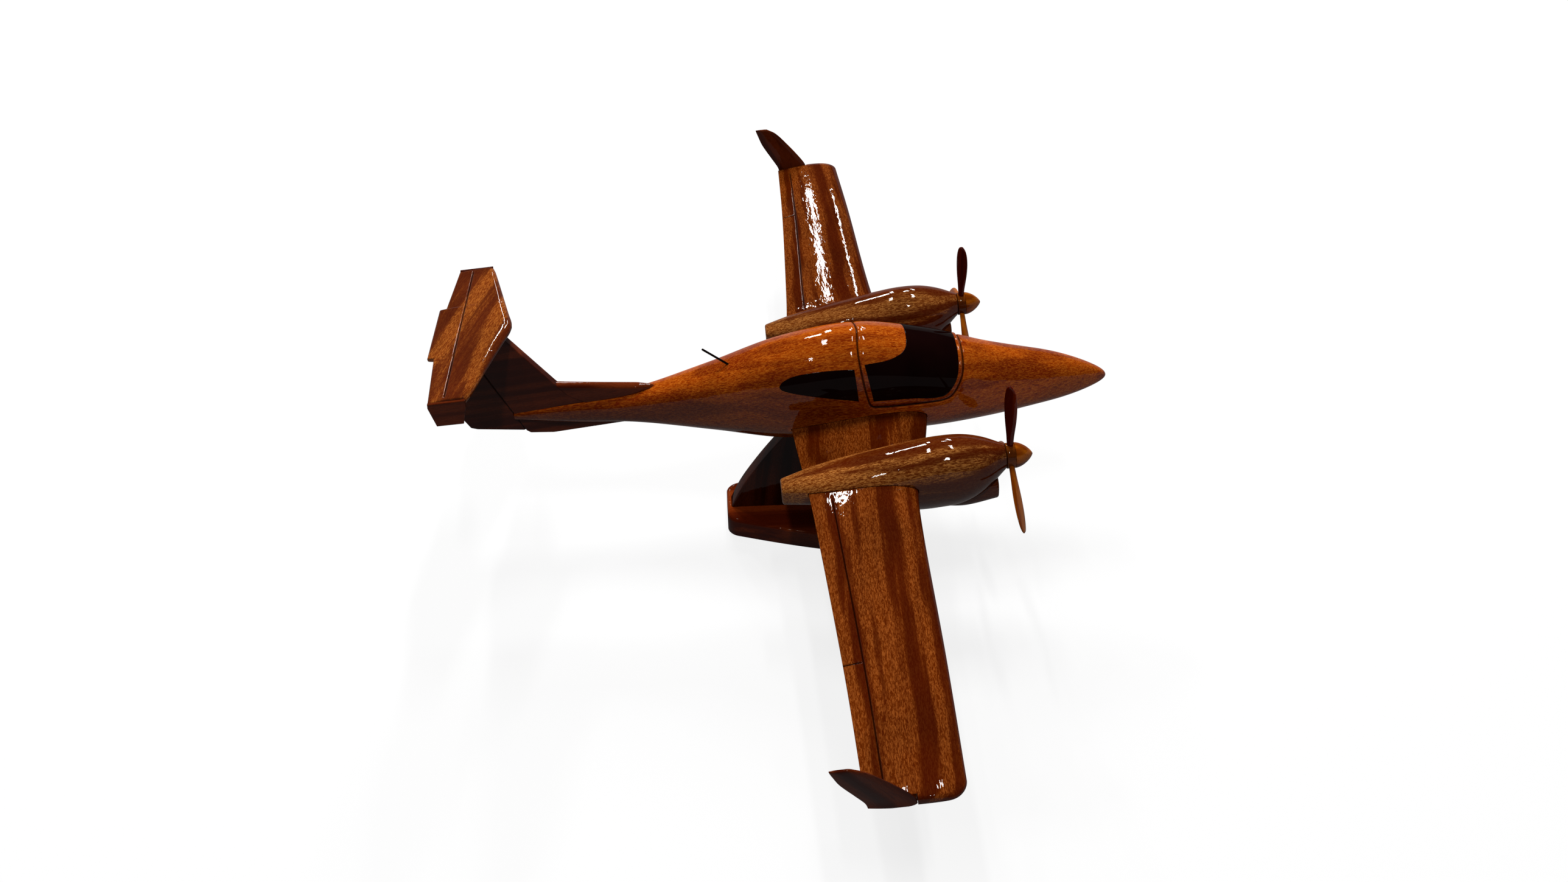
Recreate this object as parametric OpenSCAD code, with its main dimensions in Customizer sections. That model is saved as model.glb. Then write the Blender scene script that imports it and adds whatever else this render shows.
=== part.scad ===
// Desk display model of a twin-engine low-wing aeroplane on a wooden stand.
// Frame: origin at the centre of the base's underside, +X to the nose, +Y to port, +Z up, in mm.

/* [Aircraft] */
// Span between the flat ends of the two wings
wing_span = 412; // [390:1:434]
// Length of the fuselage from tail end to nose
fuselage_length = 248; // [235:1:262]
// Greatest width of the fuselage
fuselage_width = 41; // [38:0.5:44]
// Height of the fuselage from belly to cabin roof
fuselage_height = 45.5; // [42:0.5:49]
// Distance between the two propeller axes
nacelle_spacing = 110; // [106:1:118]
// Greatest width of each nacelle
nacelle_width = 24.8; // [22:0.2:27]
// Diameter swept by each propeller
propeller_diameter = 64; // [56:1:66]
// Span of the tailplane over its end plates
tailplane_span = 97; // [88:1:106]
// Height of the tailplane above the line of the nose tip
tailplane_height = 54; // [50:0.5:58]

/* [Stand] */
// Length of the base board
base_length = 80; // [76:1:96]
// Width of the base board at the tail end
base_rear_width = 24; // [20:1:30]
// Width of the base board at the nose end
base_front_width = 58; // [50:1:80]
// Thickness of the base board
base_thickness = 9; // [8:0.5:14]
// Thickness of the upright board
upright_thickness = 7.5; // [6.5:0.5:10]
// Height of the nose tip's line above the table
flight_height = 58.5; // [52:0.5:75]
// Angle of the nose above level
nose_up = 5; // [0:0.5:7]

/* [Pins and fits] */
// Diameter of the two pegs that carry the aircraft
peg_diameter = 4; // [3:0.1:5]
// Diameter of the front dowel through both wing roots
front_dowel_diameter = 4; // [3:0.1:4.4]
// Diameter of the rear dowel through both wing roots
rear_dowel_diameter = 2.4; // [2:0.1:2.8]
// Diameter of the propeller shafts
shaft_diameter = 2.4; // [2:0.1:3]
// Radial gap of a shaft in the hole it turns in
running_gap = 0.05; // [0.03:0.01:0.08]
// Gap left for glue around a fixed piece
glue_gap = 0.1; // [0.06:0.01:0.14]

/* [Hidden] */

// Finishes
light_wood = [0.55, 0.25, 0.09];
red_wood = [0.42, 0.17, 0.08];
dark_wood = [0.20, 0.08, 0.05];
gloss_black = [0.02, 0.02, 0.02];
steel = [0.6, 0.6, 0.62];

// Facets of round pins and bores
round_fn = 48;
port = 1;
starboard = -1;

// Where the aircraft's own frame sits: its nose tip is on the X axis of that frame
datum_x = -28.5;
tail_x = -98;
// Share of the fuselage where the nose starts to close
nose_start = 0.88;
nose_power = 2.6;
side_power = 0.92;
belly_power = 0.8;
fuselage_facets = 36;

// Fuselage lines from tail to nose: place, half width, roof, belly and height of the widest line,
// the first as a share of the length, the second of the half width, the others of the height
fuselage_lines = [
    [0.00, 0.14, 0.30, 0.22, 0.26],
    [0.10, 0.23, 0.34, 0.125, 0.24],
    [0.20, 0.35, 0.375, 0.08, 0.20],
    [0.33, 0.655, 0.54, -0.06, 0.19],
    [0.45, 0.93, 0.72, -0.20, 0.18],
    [0.58, 1.00, 0.79, -0.215, 0.18],
    [0.70, 0.92, 0.645, -0.235, 0.13],
    [0.80, 0.745, 0.445, -0.21, 0.07],
    [0.90, 0.535, 0.295, -0.145, 0.03],
    [1.00, 0.29, 0.145, -0.09, 0.00]
];

// Windscreen edges from the side window's rear end to the middle of the front: place on the way,
// then share of the length and angle from the roof for the inner edge, and the same for the outer
windscreen_lines = [
    [0.00, 0.586, 45, 0.596, 80],
    [0.30, 0.622, 41, 0.658, 79],
    [0.55, 0.644, 34, 0.711, 78],
    [0.66, 0.653, 28, 0.729, 67],
    [0.80, 0.658, 19, 0.740, 46],
    [1.00, 0.660, 0, 0.743, 0],
    [1.20, 0.658, -19, 0.740, -46]
];
// Rear window edges from its pointed end forward: upper edge, then lower edge
rear_window_lines = [
    [0.00, 0.446, 55, 0.446, 57],
    [0.06, 0.452, 51, 0.450, 60],
    [0.25, 0.472, 47, 0.470, 65],
    [0.60, 0.518, 47, 0.520, 73],
    [1.00, 0.569, 49, 0.572, 79]
];
// Scribed seam round the canopy frame: share of the length and angle from the roof
seam_lines = [
    [0.00, 0.581, 0],
    [0.20, 0.578, 40],
    [0.36, 0.588, 80],
    [0.42, 0.600, 86],
    [0.60, 0.690, 84],
    [0.68, 0.722, 80],
    [0.76, 0.738, 66],
    [0.86, 0.748, 45],
    [1.00, 0.751, 0]
];
window_depth = 1;
window_stand_out = 0.15;
groove_width = 0.5;
groove_depth = 0.4;

// Wing lines from the middle outward: share of the half span, leading edge, trailing edge,
// height of the chord and thickness
wing_lines = [
    [0.00, 74.0, 15.0, 1.5, 7.6],
    [0.10, 71.2, 16.0, 2.3, 7.1],
    [0.18, 68.0, 17.2, 2.9, 6.5],
    [0.28, 62.6, 19.0, 3.7, 5.9],
    [0.38, 59.8, 20.3, 4.4, 5.2],
    [0.75, 57.4, 23.5, 6.0, 4.4],
    [1.00, 55.4, 24.6, 5.8, 3.8]
];
half_wing = wing_span / 2;
wing_root = 8;
wing_upper_share = 1.2;
wing_lower_share = 0.8;
edge_half_thickness = 0.4;
tip_round = 6.5;
// How far the tip reaches past the flat end, ahead of the notch that the winglet stands in
tip_reach = 2.1;
wing_steps = 12;
// Share of the chord behind the scribed hinge line, and share of the span where the flap ends
hinge_share = 0.2;
flap_end = 0.74;
dowel_reach = 28;
dowel_height = 2.2;
front_dowel_x = 54;
rear_dowel_x = 36;

// Winglet lines from root to tip: leading edge, trailing edge, distance out from the wing's end,
// height and thickness
winglet_lines = [
    [0.0, 40.0, 25.2, 1.15, 5.1, 2.2],
    [0.2, 39.4, 24.4, 1.4, 8.0, 2.1],
    [0.4, 36.4, 21.8, 2.1, 12.6, 2.0],
    [0.7, 30.2, 17.4, 3.4, 20.4, 1.7],
    [0.9, 25.0, 15.4, 4.4, 26.0, 1.5],
    [1.0, 20.6, 14.6, 4.8, 28.6, 1.3]
];
winglet_pin_diameter = 1.2;
winglet_pin_length = 7;
winglet_pin_x = 32;
winglet_pin_height = 6.3;

// Nacelle lines from tail to front: place, half width, top, bottom, height of the widest line
// and roundness of the section, where 1 is an ellipse
nacelle_lines = [
    [9, 4.6, 5.0, -3.2, 0.8, 0.60],
    [20, 8.0, 7.6, -3.4, 2.0, 0.80],
    [30, 10.2, 9.6, -5.0, 3.0, 0.88],
    [40, 11.4, 11.6, -7.6, 3.3, 0.92],
    [50, 12.0, 13.6, -10.2, 3.5, 0.95],
    [60, 12.4, 15.4, -12.0, 3.6, 0.95],
    [70, 12.4, 16.9, -12.2, 3.8, 0.97],
    [80, 12.2, 16.6, -10.6, 4.2, 0.97],
    [88, 10.2, 14.8, -6.0, 5.4, 1.00],
    [96, 5.0, 11.9, 1.9, 6.9, 1.00]
];
nacelle_y = nacelle_spacing / 2;
nacelle_tail = 9;
nacelle_front = 96;
nacelle_facets = 28;
nacelle_rings = 22;
drawn_nacelle_width = 24.8;
nacelle_scale = nacelle_width / drawn_nacelle_width;

// Chin intake lines: place, half width, middle height and half height
scoop_lines = [
    [70, 7.6, -4.6, 6.4],
    [80, 7.8, -5.8, 6.2],
    [93, 7.0, -4.8, 5.2]
];
scoop_rear = 70;
scoop_front = 93;
scoop_power = 0.7;
mouth_width = 6.4;
mouth_height = 3.6;
mouth_depth = 5;

// Propeller: the hub turns just in front of the nacelle, the spinner sits on the hub
axis_height = 6.9;
hub_rear = 96.4;
hub_length = 3.5;
hub_radius = 5;
hub_front = hub_rear + hub_length;
spinner_length = 7.1;
shaft_rear = 84.5;
shaft_in_spinner = 3;
shaft_bore_rear = 84;
blade_x = hub_rear + hub_length / 2;
blade_root = 5.1;
blade_pin_diameter = 1.1;
blade_pin_inner = 2.4;
blade_pin_outer = 7;
blade_count = 3;
blade_facets = 12;
port_first_blade = 8;
starboard_first_blade = -2;
// Blade lines from root to tip: share of the length, half chord, half thickness, angle from the disc
blade_lines = [
    [0.00, 1.2, 0.90, 55],
    [0.20, 1.7, 0.85, 48],
    [0.50, 2.8, 0.75, 41],
    [0.75, 3.2, 0.65, 35],
    [0.92, 2.5, 0.50, 32],
    [1.00, 1.0, 0.40, 30]
];

// Tail boards: outlines in the plane of symmetry, as X and Z
fin_half_thickness = 2;
dorsal_half_thickness = 2.2;
fin_top = tailplane_height - 0.7;
fin_outline = [
    [-78.5, 25.5], [-92.8, 47.3], [-96.6, fin_top], [-121, fin_top], [-119.4, 13], [-117.1, 8.1],
    [-114.5, 7.1], [-94.7, 4.1], [-93.1, 2.6], [-83.5, 1.5], [-44, 3.7], [-58, 9], [-74, 19.5]
];
dorsal_outline = [
    [-78.3, 25.2], [-60, 22.6], [-45, 20.6], [-40, 19.6], [-37.5, 18.2], [-42, 14.5], [-66.2, 14.5],
    [-73.8, 19.3]
];
rudder_groove = [[-95, 4.2], [-112.8, fin_top]];

// Tailplane lines from the middle outward: share of the half span, leading edge, thickness
tailplane_lines = [
    [0.00, -90.4, 3.8],
    [0.08, -90.9, 3.8],
    [0.21, -92.6, 3.7],
    [0.92, -101.3, 3.1],
    [1.00, -102.6, 3.0]
];
tab_trailing = -121.5;
elevator_trailing = -118.9;
elevator_sweep = 1.9;
elevator_chord = 8;
tab_share = 0.375;
tailplane_steps = 10;
tailplane_hinge_share = 0.3;
plate_thickness = 1.4;
plate_outline = [
    [-116.9, 0.8], [-102.9, 1.0], [-103.2, -2], [-105.6, -8.8], [-106.6, -9.6], [-114.6, -9.6],
    [-115.7, -8.8], [-117.2, -1]
];
tailplane_half = tailplane_span / 2 - plate_thickness - glue_gap / 2;
tail_dowel_diameter = 1.6;
tail_dowel_length = 8;
front_tail_dowel_x = -101;
rear_tail_dowel_x = -110;

// Whip antenna on the roof
antenna_diameter = 0.9;
antenna_length = 15;
antenna_x = -7.5;
antenna_y = -2.2;
antenna_sink = 2.2;
antenna_lean = 48;

// Stand
base_rear_round = 4;
base_front_round = 12;
base_bevel = 1.4;
base_steps = 24;
tenon_depth = 5;
tenon_rear = -28;
tenon_front = 20;
rest_gap = 0.3;
upright_top_rear = -12.6;
upright_top_front = 22.5;
// Upright edges from foot to top: share of the height, rear edge and front edge
upright_lines = [
    [0.00, -38.6, 33.0],
    [0.27, -33.7, 29.0],
    [0.54, -26.9, 26.0],
    [0.78, -19.9, 24.0],
    [1.00, -12.6, 22.5]
];
upright_steps = 10;
screw_diameter = 3;
screw_head_diameter = 6;
screw_head_height = 1.8;
screw_recess = 0.4;
screw_length = 20;
screw_slot = 0.8;
front_screw_x = 10;
rear_screw_x = -16;
front_peg_x = 16;
rear_peg_x = -7;
peg_in_upright = 12;
peg_in_fuselage = 7;

// Smooth curve through the rows of a table, by column
function slope_of(rows, col, i) =
    let (a = max(i - 1, 0), b = min(i + 1, len(rows) - 1))
    (rows[b][col] - rows[a][col]) / (rows[b][0] - rows[a][0]);
function row_of(rows, s) =
    max([for (i = [0 : len(rows) - 2]) (rows[i][0] <= s) ? i : 0]);
function smooth(rows, col, s) =
    let (i = row_of(rows, s), h = rows[i + 1][0] - rows[i][0])
    let (u = min(max((s - rows[i][0]) / h, 0), 1))
    (2 * u ^ 3 - 3 * u ^ 2 + 1) * rows[i][col]
    + (u ^ 3 - 2 * u ^ 2 + u) * h * slope_of(rows, col, i)
    + (3 * u ^ 2 - 2 * u ^ 3) * rows[i + 1][col]
    + (u ^ 3 - u ^ 2) * h * slope_of(rows, col, i + 1);
function signed_power(v, e) = sign(v) * abs(v) ^ e;

// Half thickness of an aerofoil of thickness 1 at share t of its chord from the leading edge
function aerofoil(t) =
    5 * (0.2969 * sqrt(t) - 0.126 * t - 0.3516 * t ^ 2 + 0.2843 * t ^ 3 - 0.1036 * t ^ 4);
function chord_share(k, steps) = (1 + cos(180 * k / steps)) / 2;

// Closed solid through rings of points that run round the same way
module loft(rings) {
    n = len(rings[0]);
    last = len(rings) - 1;
    side_faces = [
        for (r = [0 : last - 1], k = [0 : n - 1])
            [r * n + k, r * n + (k + 1) % n, (r + 1) * n + (k + 1) % n, (r + 1) * n + k]
    ];
    start_face = [[for (k = [n - 1 : -1 : 0]) k]];
    end_face = [[for (k = [0 : n - 1]) last * n + k]];
    polyhedron(points = [for (ring = rings) each ring], faces = concat(start_face, side_faces, end_face));
}

// Closed solid between two grids of points that have the same size
module patch(outer, inner) {
    rows = len(outer);
    cols = len(outer[0]);
    shift = rows * cols;
    skins = [
        for (i = [0 : rows - 2], j = [0 : cols - 2])
            let (a = i * cols + j, b = a + cols)
            each [[a, b, b + 1, a + 1], [shift + a, shift + a + 1, shift + b + 1, shift + b]]
    ];
    long_walls = [
        for (i = [0 : rows - 2])
            let (a = i * cols, b = a + cols, c = a + cols - 1, d = c + cols)
            each [[a, shift + a, shift + b, b], [c, d, shift + d, shift + c]]
    ];
    end_walls = [
        for (j = [0 : cols - 2])
            let (a = j, b = (rows - 1) * cols + j)
            each [[a, a + 1, shift + a + 1, shift + a], [b, shift + b, shift + b + 1, b + 1]]
    ];
    all_points = concat([for (row = outer) each row], [for (row = inner) each row]);
    polyhedron(points = all_points, faces = concat(skins, long_walls, end_walls));
}

// Carved wood: the cuts in a lofted piece are worked out together as one mesh
module carved() {
    resize([0, 0, 0])
        children();
}

// Places a piece of the aircraft on the stand, nose up
module in_flight() {
    translate([datum_x, 0, flight_height])
        rotate([0, -nose_up, 0])
            children();
}

module on_side(side) {
    if (side == port) children();
    else mirror([0, 1, 0]) children();
}

// Flat board in the plane of symmetry
module board(outline, half_thickness) {
    rotate([90, 0, 0])
        linear_extrude(height = 2 * half_thickness, center = true)
            polygon(outline);
}

// Fuselage surface
function nose_close(s) =
    (s <= nose_start) ? 1 : sqrt(1 - ((s - nose_start) / (1 - nose_start)) ^ nose_power);
function roof_at(s) = fuselage_height * smooth(fuselage_lines, 2, s) * nose_close(s);
function belly_at(s) = fuselage_height * smooth(fuselage_lines, 3, s) * nose_close(s);
function middle_at(s) = fuselage_height * smooth(fuselage_lines, 4, s) * nose_close(s);
function half_width_at(s) = fuselage_width / 2 * smooth(fuselage_lines, 1, s) * nose_close(s);
function fuselage_point(s, a, grow) =
    let (m = middle_at(s), c = cos(a))
    let (up = (roof_at(s) + grow - m) * signed_power(c, side_power))
    let (down = (m - belly_at(s) + grow) * signed_power(c, belly_power))
    [
        tail_x + fuselage_length * s,
        (half_width_at(s) + grow) * signed_power(sin(a), side_power),
        m + ((c >= 0) ? up : down)
    ];
function fuselage_ring(s) =
    [for (k = [0 : fuselage_facets - 1]) fuselage_point(s, 360 * k / fuselage_facets, 0)];
body_rings = [for (i = [0 : 28]) nose_start * i / 28];
nose_rings = [for (i = [1 : 10]) nose_start + (1 - nose_start) * sin(90 * i / 10.15)];
module fuselage_loft() {
    loft([for (s = concat(body_rings, nose_rings)) fuselage_ring(s)]);
}

// Height of the belly over the table at a place along the stand
function flight_share(x) = ((x - datum_x) / cos(nose_up) - tail_x) / fuselage_length;
function belly_height(x) =
    let (low = belly_at(flight_share(x)))
    let (along = (x - datum_x + low * sin(nose_up)) / cos(nose_up))
    flight_height + along * sin(nose_up) + low * cos(nose_up);

// Windscreen: one black band round the front of the cockpit, both sides alike
function windscreen_point(way, v, grow, gap) =
    let (t = (way <= 1) ? way : 2 - way, hand = (way <= 1) ? -1 : 1)
    let (g = gap / fuselage_length, turn = gap * 180 / PI / (fuselage_width / 2))
    let (s_in = smooth(windscreen_lines, 1, t) - g, a_in = smooth(windscreen_lines, 2, t) - turn)
    let (s_out = smooth(windscreen_lines, 3, t) + ((t == 0) ? -g : g))
    let (a_out = smooth(windscreen_lines, 4, t) + turn)
    fuselage_point(s_in + (s_out - s_in) * v, hand * (max(a_in, 0) + (a_out - max(a_in, 0)) * v), grow);
function windscreen_grid(grow, gap) =
    [for (i = [0 : 32]) [for (j = [0 : 6]) windscreen_point(i / 16, j / 6, grow, gap)]];

// Rear side window on the starboard side
function rear_window_point(t, v, grow, gap) =
    let (g = (2 * t - 1) * gap / fuselage_length, turn = gap * 180 / PI / (fuselage_width / 2))
    let (s_top = smooth(rear_window_lines, 1, t) + g, a_top = smooth(rear_window_lines, 2, t) - turn)
    let (s_low = smooth(rear_window_lines, 3, t) + g, a_low = smooth(rear_window_lines, 4, t) + turn)
    fuselage_point(s_top + (s_low - s_top) * v, -(a_top + (a_low - a_top) * v), grow);
rear_window_ways = [0, 0.03, 0.07, 0.14, 0.25, 0.4, 0.6, 0.8, 1];
function rear_window_grid(grow, gap) =
    [for (t = rear_window_ways) [for (j = [0 : 5]) rear_window_point(t, j / 5, grow, gap)]];

module windscreen_pocket() {
    patch(windscreen_grid(window_depth, glue_gap), windscreen_grid(-window_depth - glue_gap, glue_gap));
}

module rear_window_pocket() {
    patch(rear_window_grid(window_depth, glue_gap), rear_window_grid(-window_depth - glue_gap, glue_gap));
}

// Half of the scribed seam round the canopy frame, starboard side
function seam_place(t) = [smooth(seam_lines, 1, t) * fuselage_length, smooth(seam_lines, 2, t)];
function seam_ring(t) =
    let (p = seam_place(t), q = seam_place(max(t - 0.01, 0)), r = seam_place(min(t + 0.01, 1)))
    let (radius = fuselage_width / 2 * PI / 180, along = [r[0] - q[0], (r[1] - q[1]) * radius])
    let (across = [-along[1], along[0]] / norm(along) * groove_width / 2)
    let (left = p - [across[0], across[1] / radius], right = p + [across[0], across[1] / radius])
    [
        fuselage_point(left[0] / fuselage_length, -left[1], 0.6),
        fuselage_point(left[0] / fuselage_length, -left[1], -groove_depth),
        fuselage_point(right[0] / fuselage_length, -right[1], -groove_depth),
        fuselage_point(right[0] / fuselage_length, -right[1], 0.6)
    ];
module seam_groove() {
    loft([for (i = [0 : 40]) seam_ring(i / 40)]);
}

// Wing surface on the port side, y from the middle of the aircraft
wing_end = half_wing + tip_reach;
function tip_share(y) = min(max((y - wing_end + tip_round) / tip_round, 0), 1);
function wing_leading(y) = smooth(wing_lines, 1, y / half_wing) - tip_round * (1 - sqrt(1 - tip_share(y) ^ 2));
function wing_trailing(y) = smooth(wing_lines, 2, y / half_wing);
function wing_height(y) = smooth(wing_lines, 3, y / half_wing);
function wing_half(y, t) =
    aerofoil(t) * smooth(wing_lines, 4, y / half_wing) * (1 - 0.35 * tip_share(y) ^ 3) + edge_half_thickness * t;
function wing_point(y, t, share, grow) =
    let (front = wing_leading(y) + grow, rear = wing_trailing(y) - grow)
    [front + (rear - front) * t, y, wing_height(y) + share * wing_half(y, t) + sign(share) * grow];
function wing_ring(y, grow) = concat(
    [for (k = [0 : wing_steps]) wing_point(y, chord_share(k, wing_steps), -wing_lower_share, grow)],
    [for (k = [wing_steps - 1 : -1 : 0]) wing_point(y, chord_share(k, wing_steps), wing_upper_share, grow)]
);
wing_shares = [0.09, 0.14, 0.18, 0.23, 0.28, 0.33, 0.38, 0.46, 0.56, 0.66, 0.75, 0.83, 0.9];
wing_tip_places = [for (r = [0, 0.35, 0.6, 0.8, 0.92, 0.98, 1]) wing_end - tip_round * (1 - r)];
module wing_loft(grow) {
    places = concat([wing_root - grow], wing_shares * half_wing, wing_tip_places);
    loft([for (y = places) wing_ring(y, grow)]);
}
function hinge_top(y, offset) =
    let (p = wing_point(y, 1 - hinge_share, wing_upper_share, 0))
    [
        [p[0] + groove_width / 2, y, p[2] + offset],
        [p[0] - groove_width / 2, y, p[2] + offset]
    ];
module hinge_groove() {
    from = nacelle_y + nacelle_width / 2;
    to = half_wing - 5;
    loft([
        for (i = [0 : 10])
            let (y = from + (to - from) * i / 10, low = hinge_top(y, -groove_depth), high = hinge_top(y, 1))
            [low[1], low[0], high[0], high[1]]
    ]);
}
module flap_groove() {
    y = flap_end * half_wing;
    front = wing_point(y, 1 - hinge_share, wing_upper_share, 0);
    rear = wing_point(y, 1, wing_upper_share, 0);
    loft([
        for (p = [front, rear - [1, 0, 0]])
            [
                [p[0], y + groove_width / 2, p[2] - groove_depth],
                [p[0], y + groove_width / 2, p[2] + 2],
                [p[0], y - groove_width / 2, p[2] + 2],
                [p[0], y - groove_width / 2, p[2] - groove_depth]
            ]
    ]);
}
module across(x, z, diameter, from, to) {
    translate([x, from, z])
        rotate([-90, 0, 0])
            cylinder(d = diameter, h = to - from, $fn = round_fn);
}
module winglet_notch() {
    front = winglet_lines[0][1] + glue_gap;
    translate([front - half_wing, half_wing, -half_wing / 2])
        cube([half_wing, half_wing, half_wing]);
}
module wing(side) {
    color(red_wood) in_flight() on_side(side) difference() {
        carved() difference() {
            wing_loft(0);
            hinge_groove();
            flap_groove();
            winglet_notch();
        }
        across(front_dowel_x, dowel_height, front_dowel_diameter + 2 * running_gap, 0, dowel_reach + glue_gap);
        across(rear_dowel_x, dowel_height, rear_dowel_diameter + 2 * running_gap, 0, dowel_reach + glue_gap);
        winglet_pin_space(running_gap);
    }
}
module wing_dowel(x, diameter) {
    color(light_wood) in_flight() across(x, dowel_height, diameter, -dowel_reach, dowel_reach);
}

// Winglet: stands in the notch at the end of the wing
function winglet_ring(u) =
    let (front = smooth(winglet_lines, 1, u), rear = smooth(winglet_lines, 2, u))
    let (y = half_wing + glue_gap / 2 + smooth(winglet_lines, 3, u), z = smooth(winglet_lines, 4, u))
    let (thick = smooth(winglet_lines, 5, u))
    concat(
        [for (k = [0 : 8]) winglet_point(front, rear, y, z, thick, chord_share(k, 8), 1)],
        [for (k = [7 : -1 : 0]) winglet_point(front, rear, y, z, thick, chord_share(k, 8), -1)]
    );
function winglet_point(front, rear, y, z, thick, t, hand) =
    let (half = min(aerofoil(t) * thick + 0.3 * t, 0.5 * thick))
    [front + (rear - front) * t, y + hand * half, z];
module winglet(side) {
    color(dark_wood) in_flight() on_side(side) difference() {
        loft([for (i = [0 : 10]) winglet_ring(i / 10)]);
        winglet_pin_space(running_gap);
    }
}
module winglet_pin_space(gap) {
    from = half_wing - winglet_pin_length + 1.6;
    across(winglet_pin_x, winglet_pin_height, winglet_pin_diameter + 2 * gap, from, from + winglet_pin_length);
}
module winglet_pin(side) {
    color(steel) in_flight() on_side(side) winglet_pin_space(0);
}

// Nacelle: slid on over the wing
function nacelle_ring(x, grow) =
    let (w = nacelle_scale * smooth(nacelle_lines, 1, x) + grow, m = smooth(nacelle_lines, 4, x))
    let (up = smooth(nacelle_lines, 2, x) - m + grow, down = m - smooth(nacelle_lines, 3, x) + grow)
    let (e = smooth(nacelle_lines, 5, x))
    [
        for (k = [0 : nacelle_facets - 1])
            let (a = 360 * k / nacelle_facets, c = cos(a))
            [x, nacelle_y + w * signed_power(sin(a), e), m + ((c >= 0) ? up : down) * signed_power(c, e)]
    ];
module nacelle_loft(grow) {
    step = (nacelle_front - nacelle_tail) / nacelle_rings;
    loft([for (i = [0 : nacelle_rings]) nacelle_ring(nacelle_tail + step * i, grow)]);
}
module nacelle(side) {
    color(red_wood) in_flight() on_side(side) difference() {
        carved() difference() {
            nacelle_loft(0);
            wing_loft(glue_gap);
        }
        translate([shaft_bore_rear, nacelle_y, axis_height])
            rotate([0, 90, 0])
                cylinder(d = shaft_diameter + 2 * running_gap, h = hub_rear - shaft_bore_rear, $fn = round_fn);
    }
}

// Chin intake under the nacelle
function scoop_ring(x) =
    let (w = smooth(scoop_lines, 1, x), m = smooth(scoop_lines, 2, x), h = smooth(scoop_lines, 3, x))
    [
        for (k = [0 : 23])
            let (a = 15 * k)
            [x, nacelle_y + w * signed_power(sin(a), scoop_power), m + h * signed_power(cos(a), scoop_power)]
    ];
module scoop(side) {
    mouth_z = smooth(scoop_lines, 2, scoop_front) - smooth(scoop_lines, 3, scoop_front) + 1.4;
    color(red_wood) in_flight() on_side(side) carved() difference() {
        loft([for (i = [0 : 8]) scoop_ring(scoop_rear + (scoop_front - scoop_rear) * i / 8)]);
        nacelle_loft(glue_gap);
        translate([scoop_front - mouth_depth, nacelle_y - mouth_width / 2, mouth_z])
            cube([mouth_depth + 1, mouth_width, mouth_height]);
    }
}

// Propeller pieces, about the shaft's own axis
module on_axis(side, x) {
    in_flight() translate([x, side * nacelle_y, axis_height])
        children();
}
module along_axis(diameter, length) {
    rotate([0, 90, 0])
        cylinder(d = diameter, h = length, $fn = round_fn);
}
function first_blade(side) = (side == port) ? port_first_blade : starboard_first_blade;
module hub(side) {
    color(dark_wood) on_axis(side, hub_rear) difference() {
        along_axis(2 * hub_radius, hub_length);
        translate([-1, 0, 0])
            along_axis(shaft_diameter + 2 * running_gap, hub_length + 2);
        for (i = [0 : blade_count - 1])
            rotate([first_blade(side) + 360 / blade_count * i, 0, 0])
                translate([hub_length / 2, 0, blade_pin_inner - glue_gap])
                    cylinder(d = blade_pin_diameter + 2 * running_gap, h = hub_radius, $fn = round_fn);
    }
}
module spinner(side) {
    profile = [
        for (i = [0 : 14])
            let (u = sin(90 * i / 14))
            [hub_radius * (1 - u ^ 1.7) ^ 0.75, spinner_length * u]
    ];
    color(light_wood) on_axis(side, hub_front) difference() {
        rotate([0, 90, 0])
            rotate_extrude($fn = 64)
                polygon(concat([[0, 0]], profile));
        translate([-1, 0, 0])
            along_axis(shaft_diameter + 2 * running_gap, shaft_in_spinner + glue_gap + 1);
    }
}
module shaft(side) {
    color(steel) on_axis(side, shaft_rear)
        along_axis(shaft_diameter, hub_front + shaft_in_spinner - shaft_rear);
}
function blade_ring(u) =
    let (chord = smooth(blade_lines, 1, u), thick = smooth(blade_lines, 2, u), turn = smooth(blade_lines, 3, u))
    let (r = blade_root + (propeller_diameter / 2 - blade_root) * u)
    [
        for (k = [0 : blade_facets - 1])
            let (b = 360 * k / blade_facets, p = chord * cos(b), q = thick * sin(b))
            [-p * sin(turn) + q * cos(turn), p * cos(turn) + q * sin(turn), r]
    ];
module blade(side, i) {
    color(light_wood) on_axis(side, blade_x) rotate([first_blade(side) + 360 / blade_count * i, 0, 0]) union() {
        loft([for (j = [0 : 12]) blade_ring(sin(90 * j / 12))]);
        translate([0, 0, blade_pin_inner])
            cylinder(d = blade_pin_diameter, h = blade_pin_outer - blade_pin_inner, $fn = round_fn);
    }
}

// Fuselage with the seats of everything fixed to it
module fuselage() {
    color(light_wood) difference() {
        in_flight() carved() difference() {
            fuselage_loft();
            wing_loft(glue_gap);
            mirror([0, 1, 0]) wing_loft(glue_gap);
            windscreen_pocket();
            rear_window_pocket();
            mirror([0, 1, 0]) rear_window_pocket();
            seam_groove();
            mirror([0, 1, 0]) seam_groove();
            board(fin_outline, fin_half_thickness + glue_gap);
            board(dorsal_outline, dorsal_half_thickness + glue_gap);
        }
        in_flight() {
            across(front_dowel_x, dowel_height, front_dowel_diameter + 2 * running_gap, -wing_root - 1, wing_root + 1);
            across(rear_dowel_x, dowel_height, rear_dowel_diameter + 2 * running_gap, -wing_root - 1, wing_root + 1);
            antenna_space(running_gap, antenna_sink + glue_gap);
        }
        for (x = [front_peg_x, rear_peg_x])
            translate([x, 0, belly_height(x) - 3])
                cylinder(d = peg_diameter + 2 * glue_gap, h = peg_in_fuselage + glue_gap + 3, $fn = round_fn);
    }
}
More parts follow.
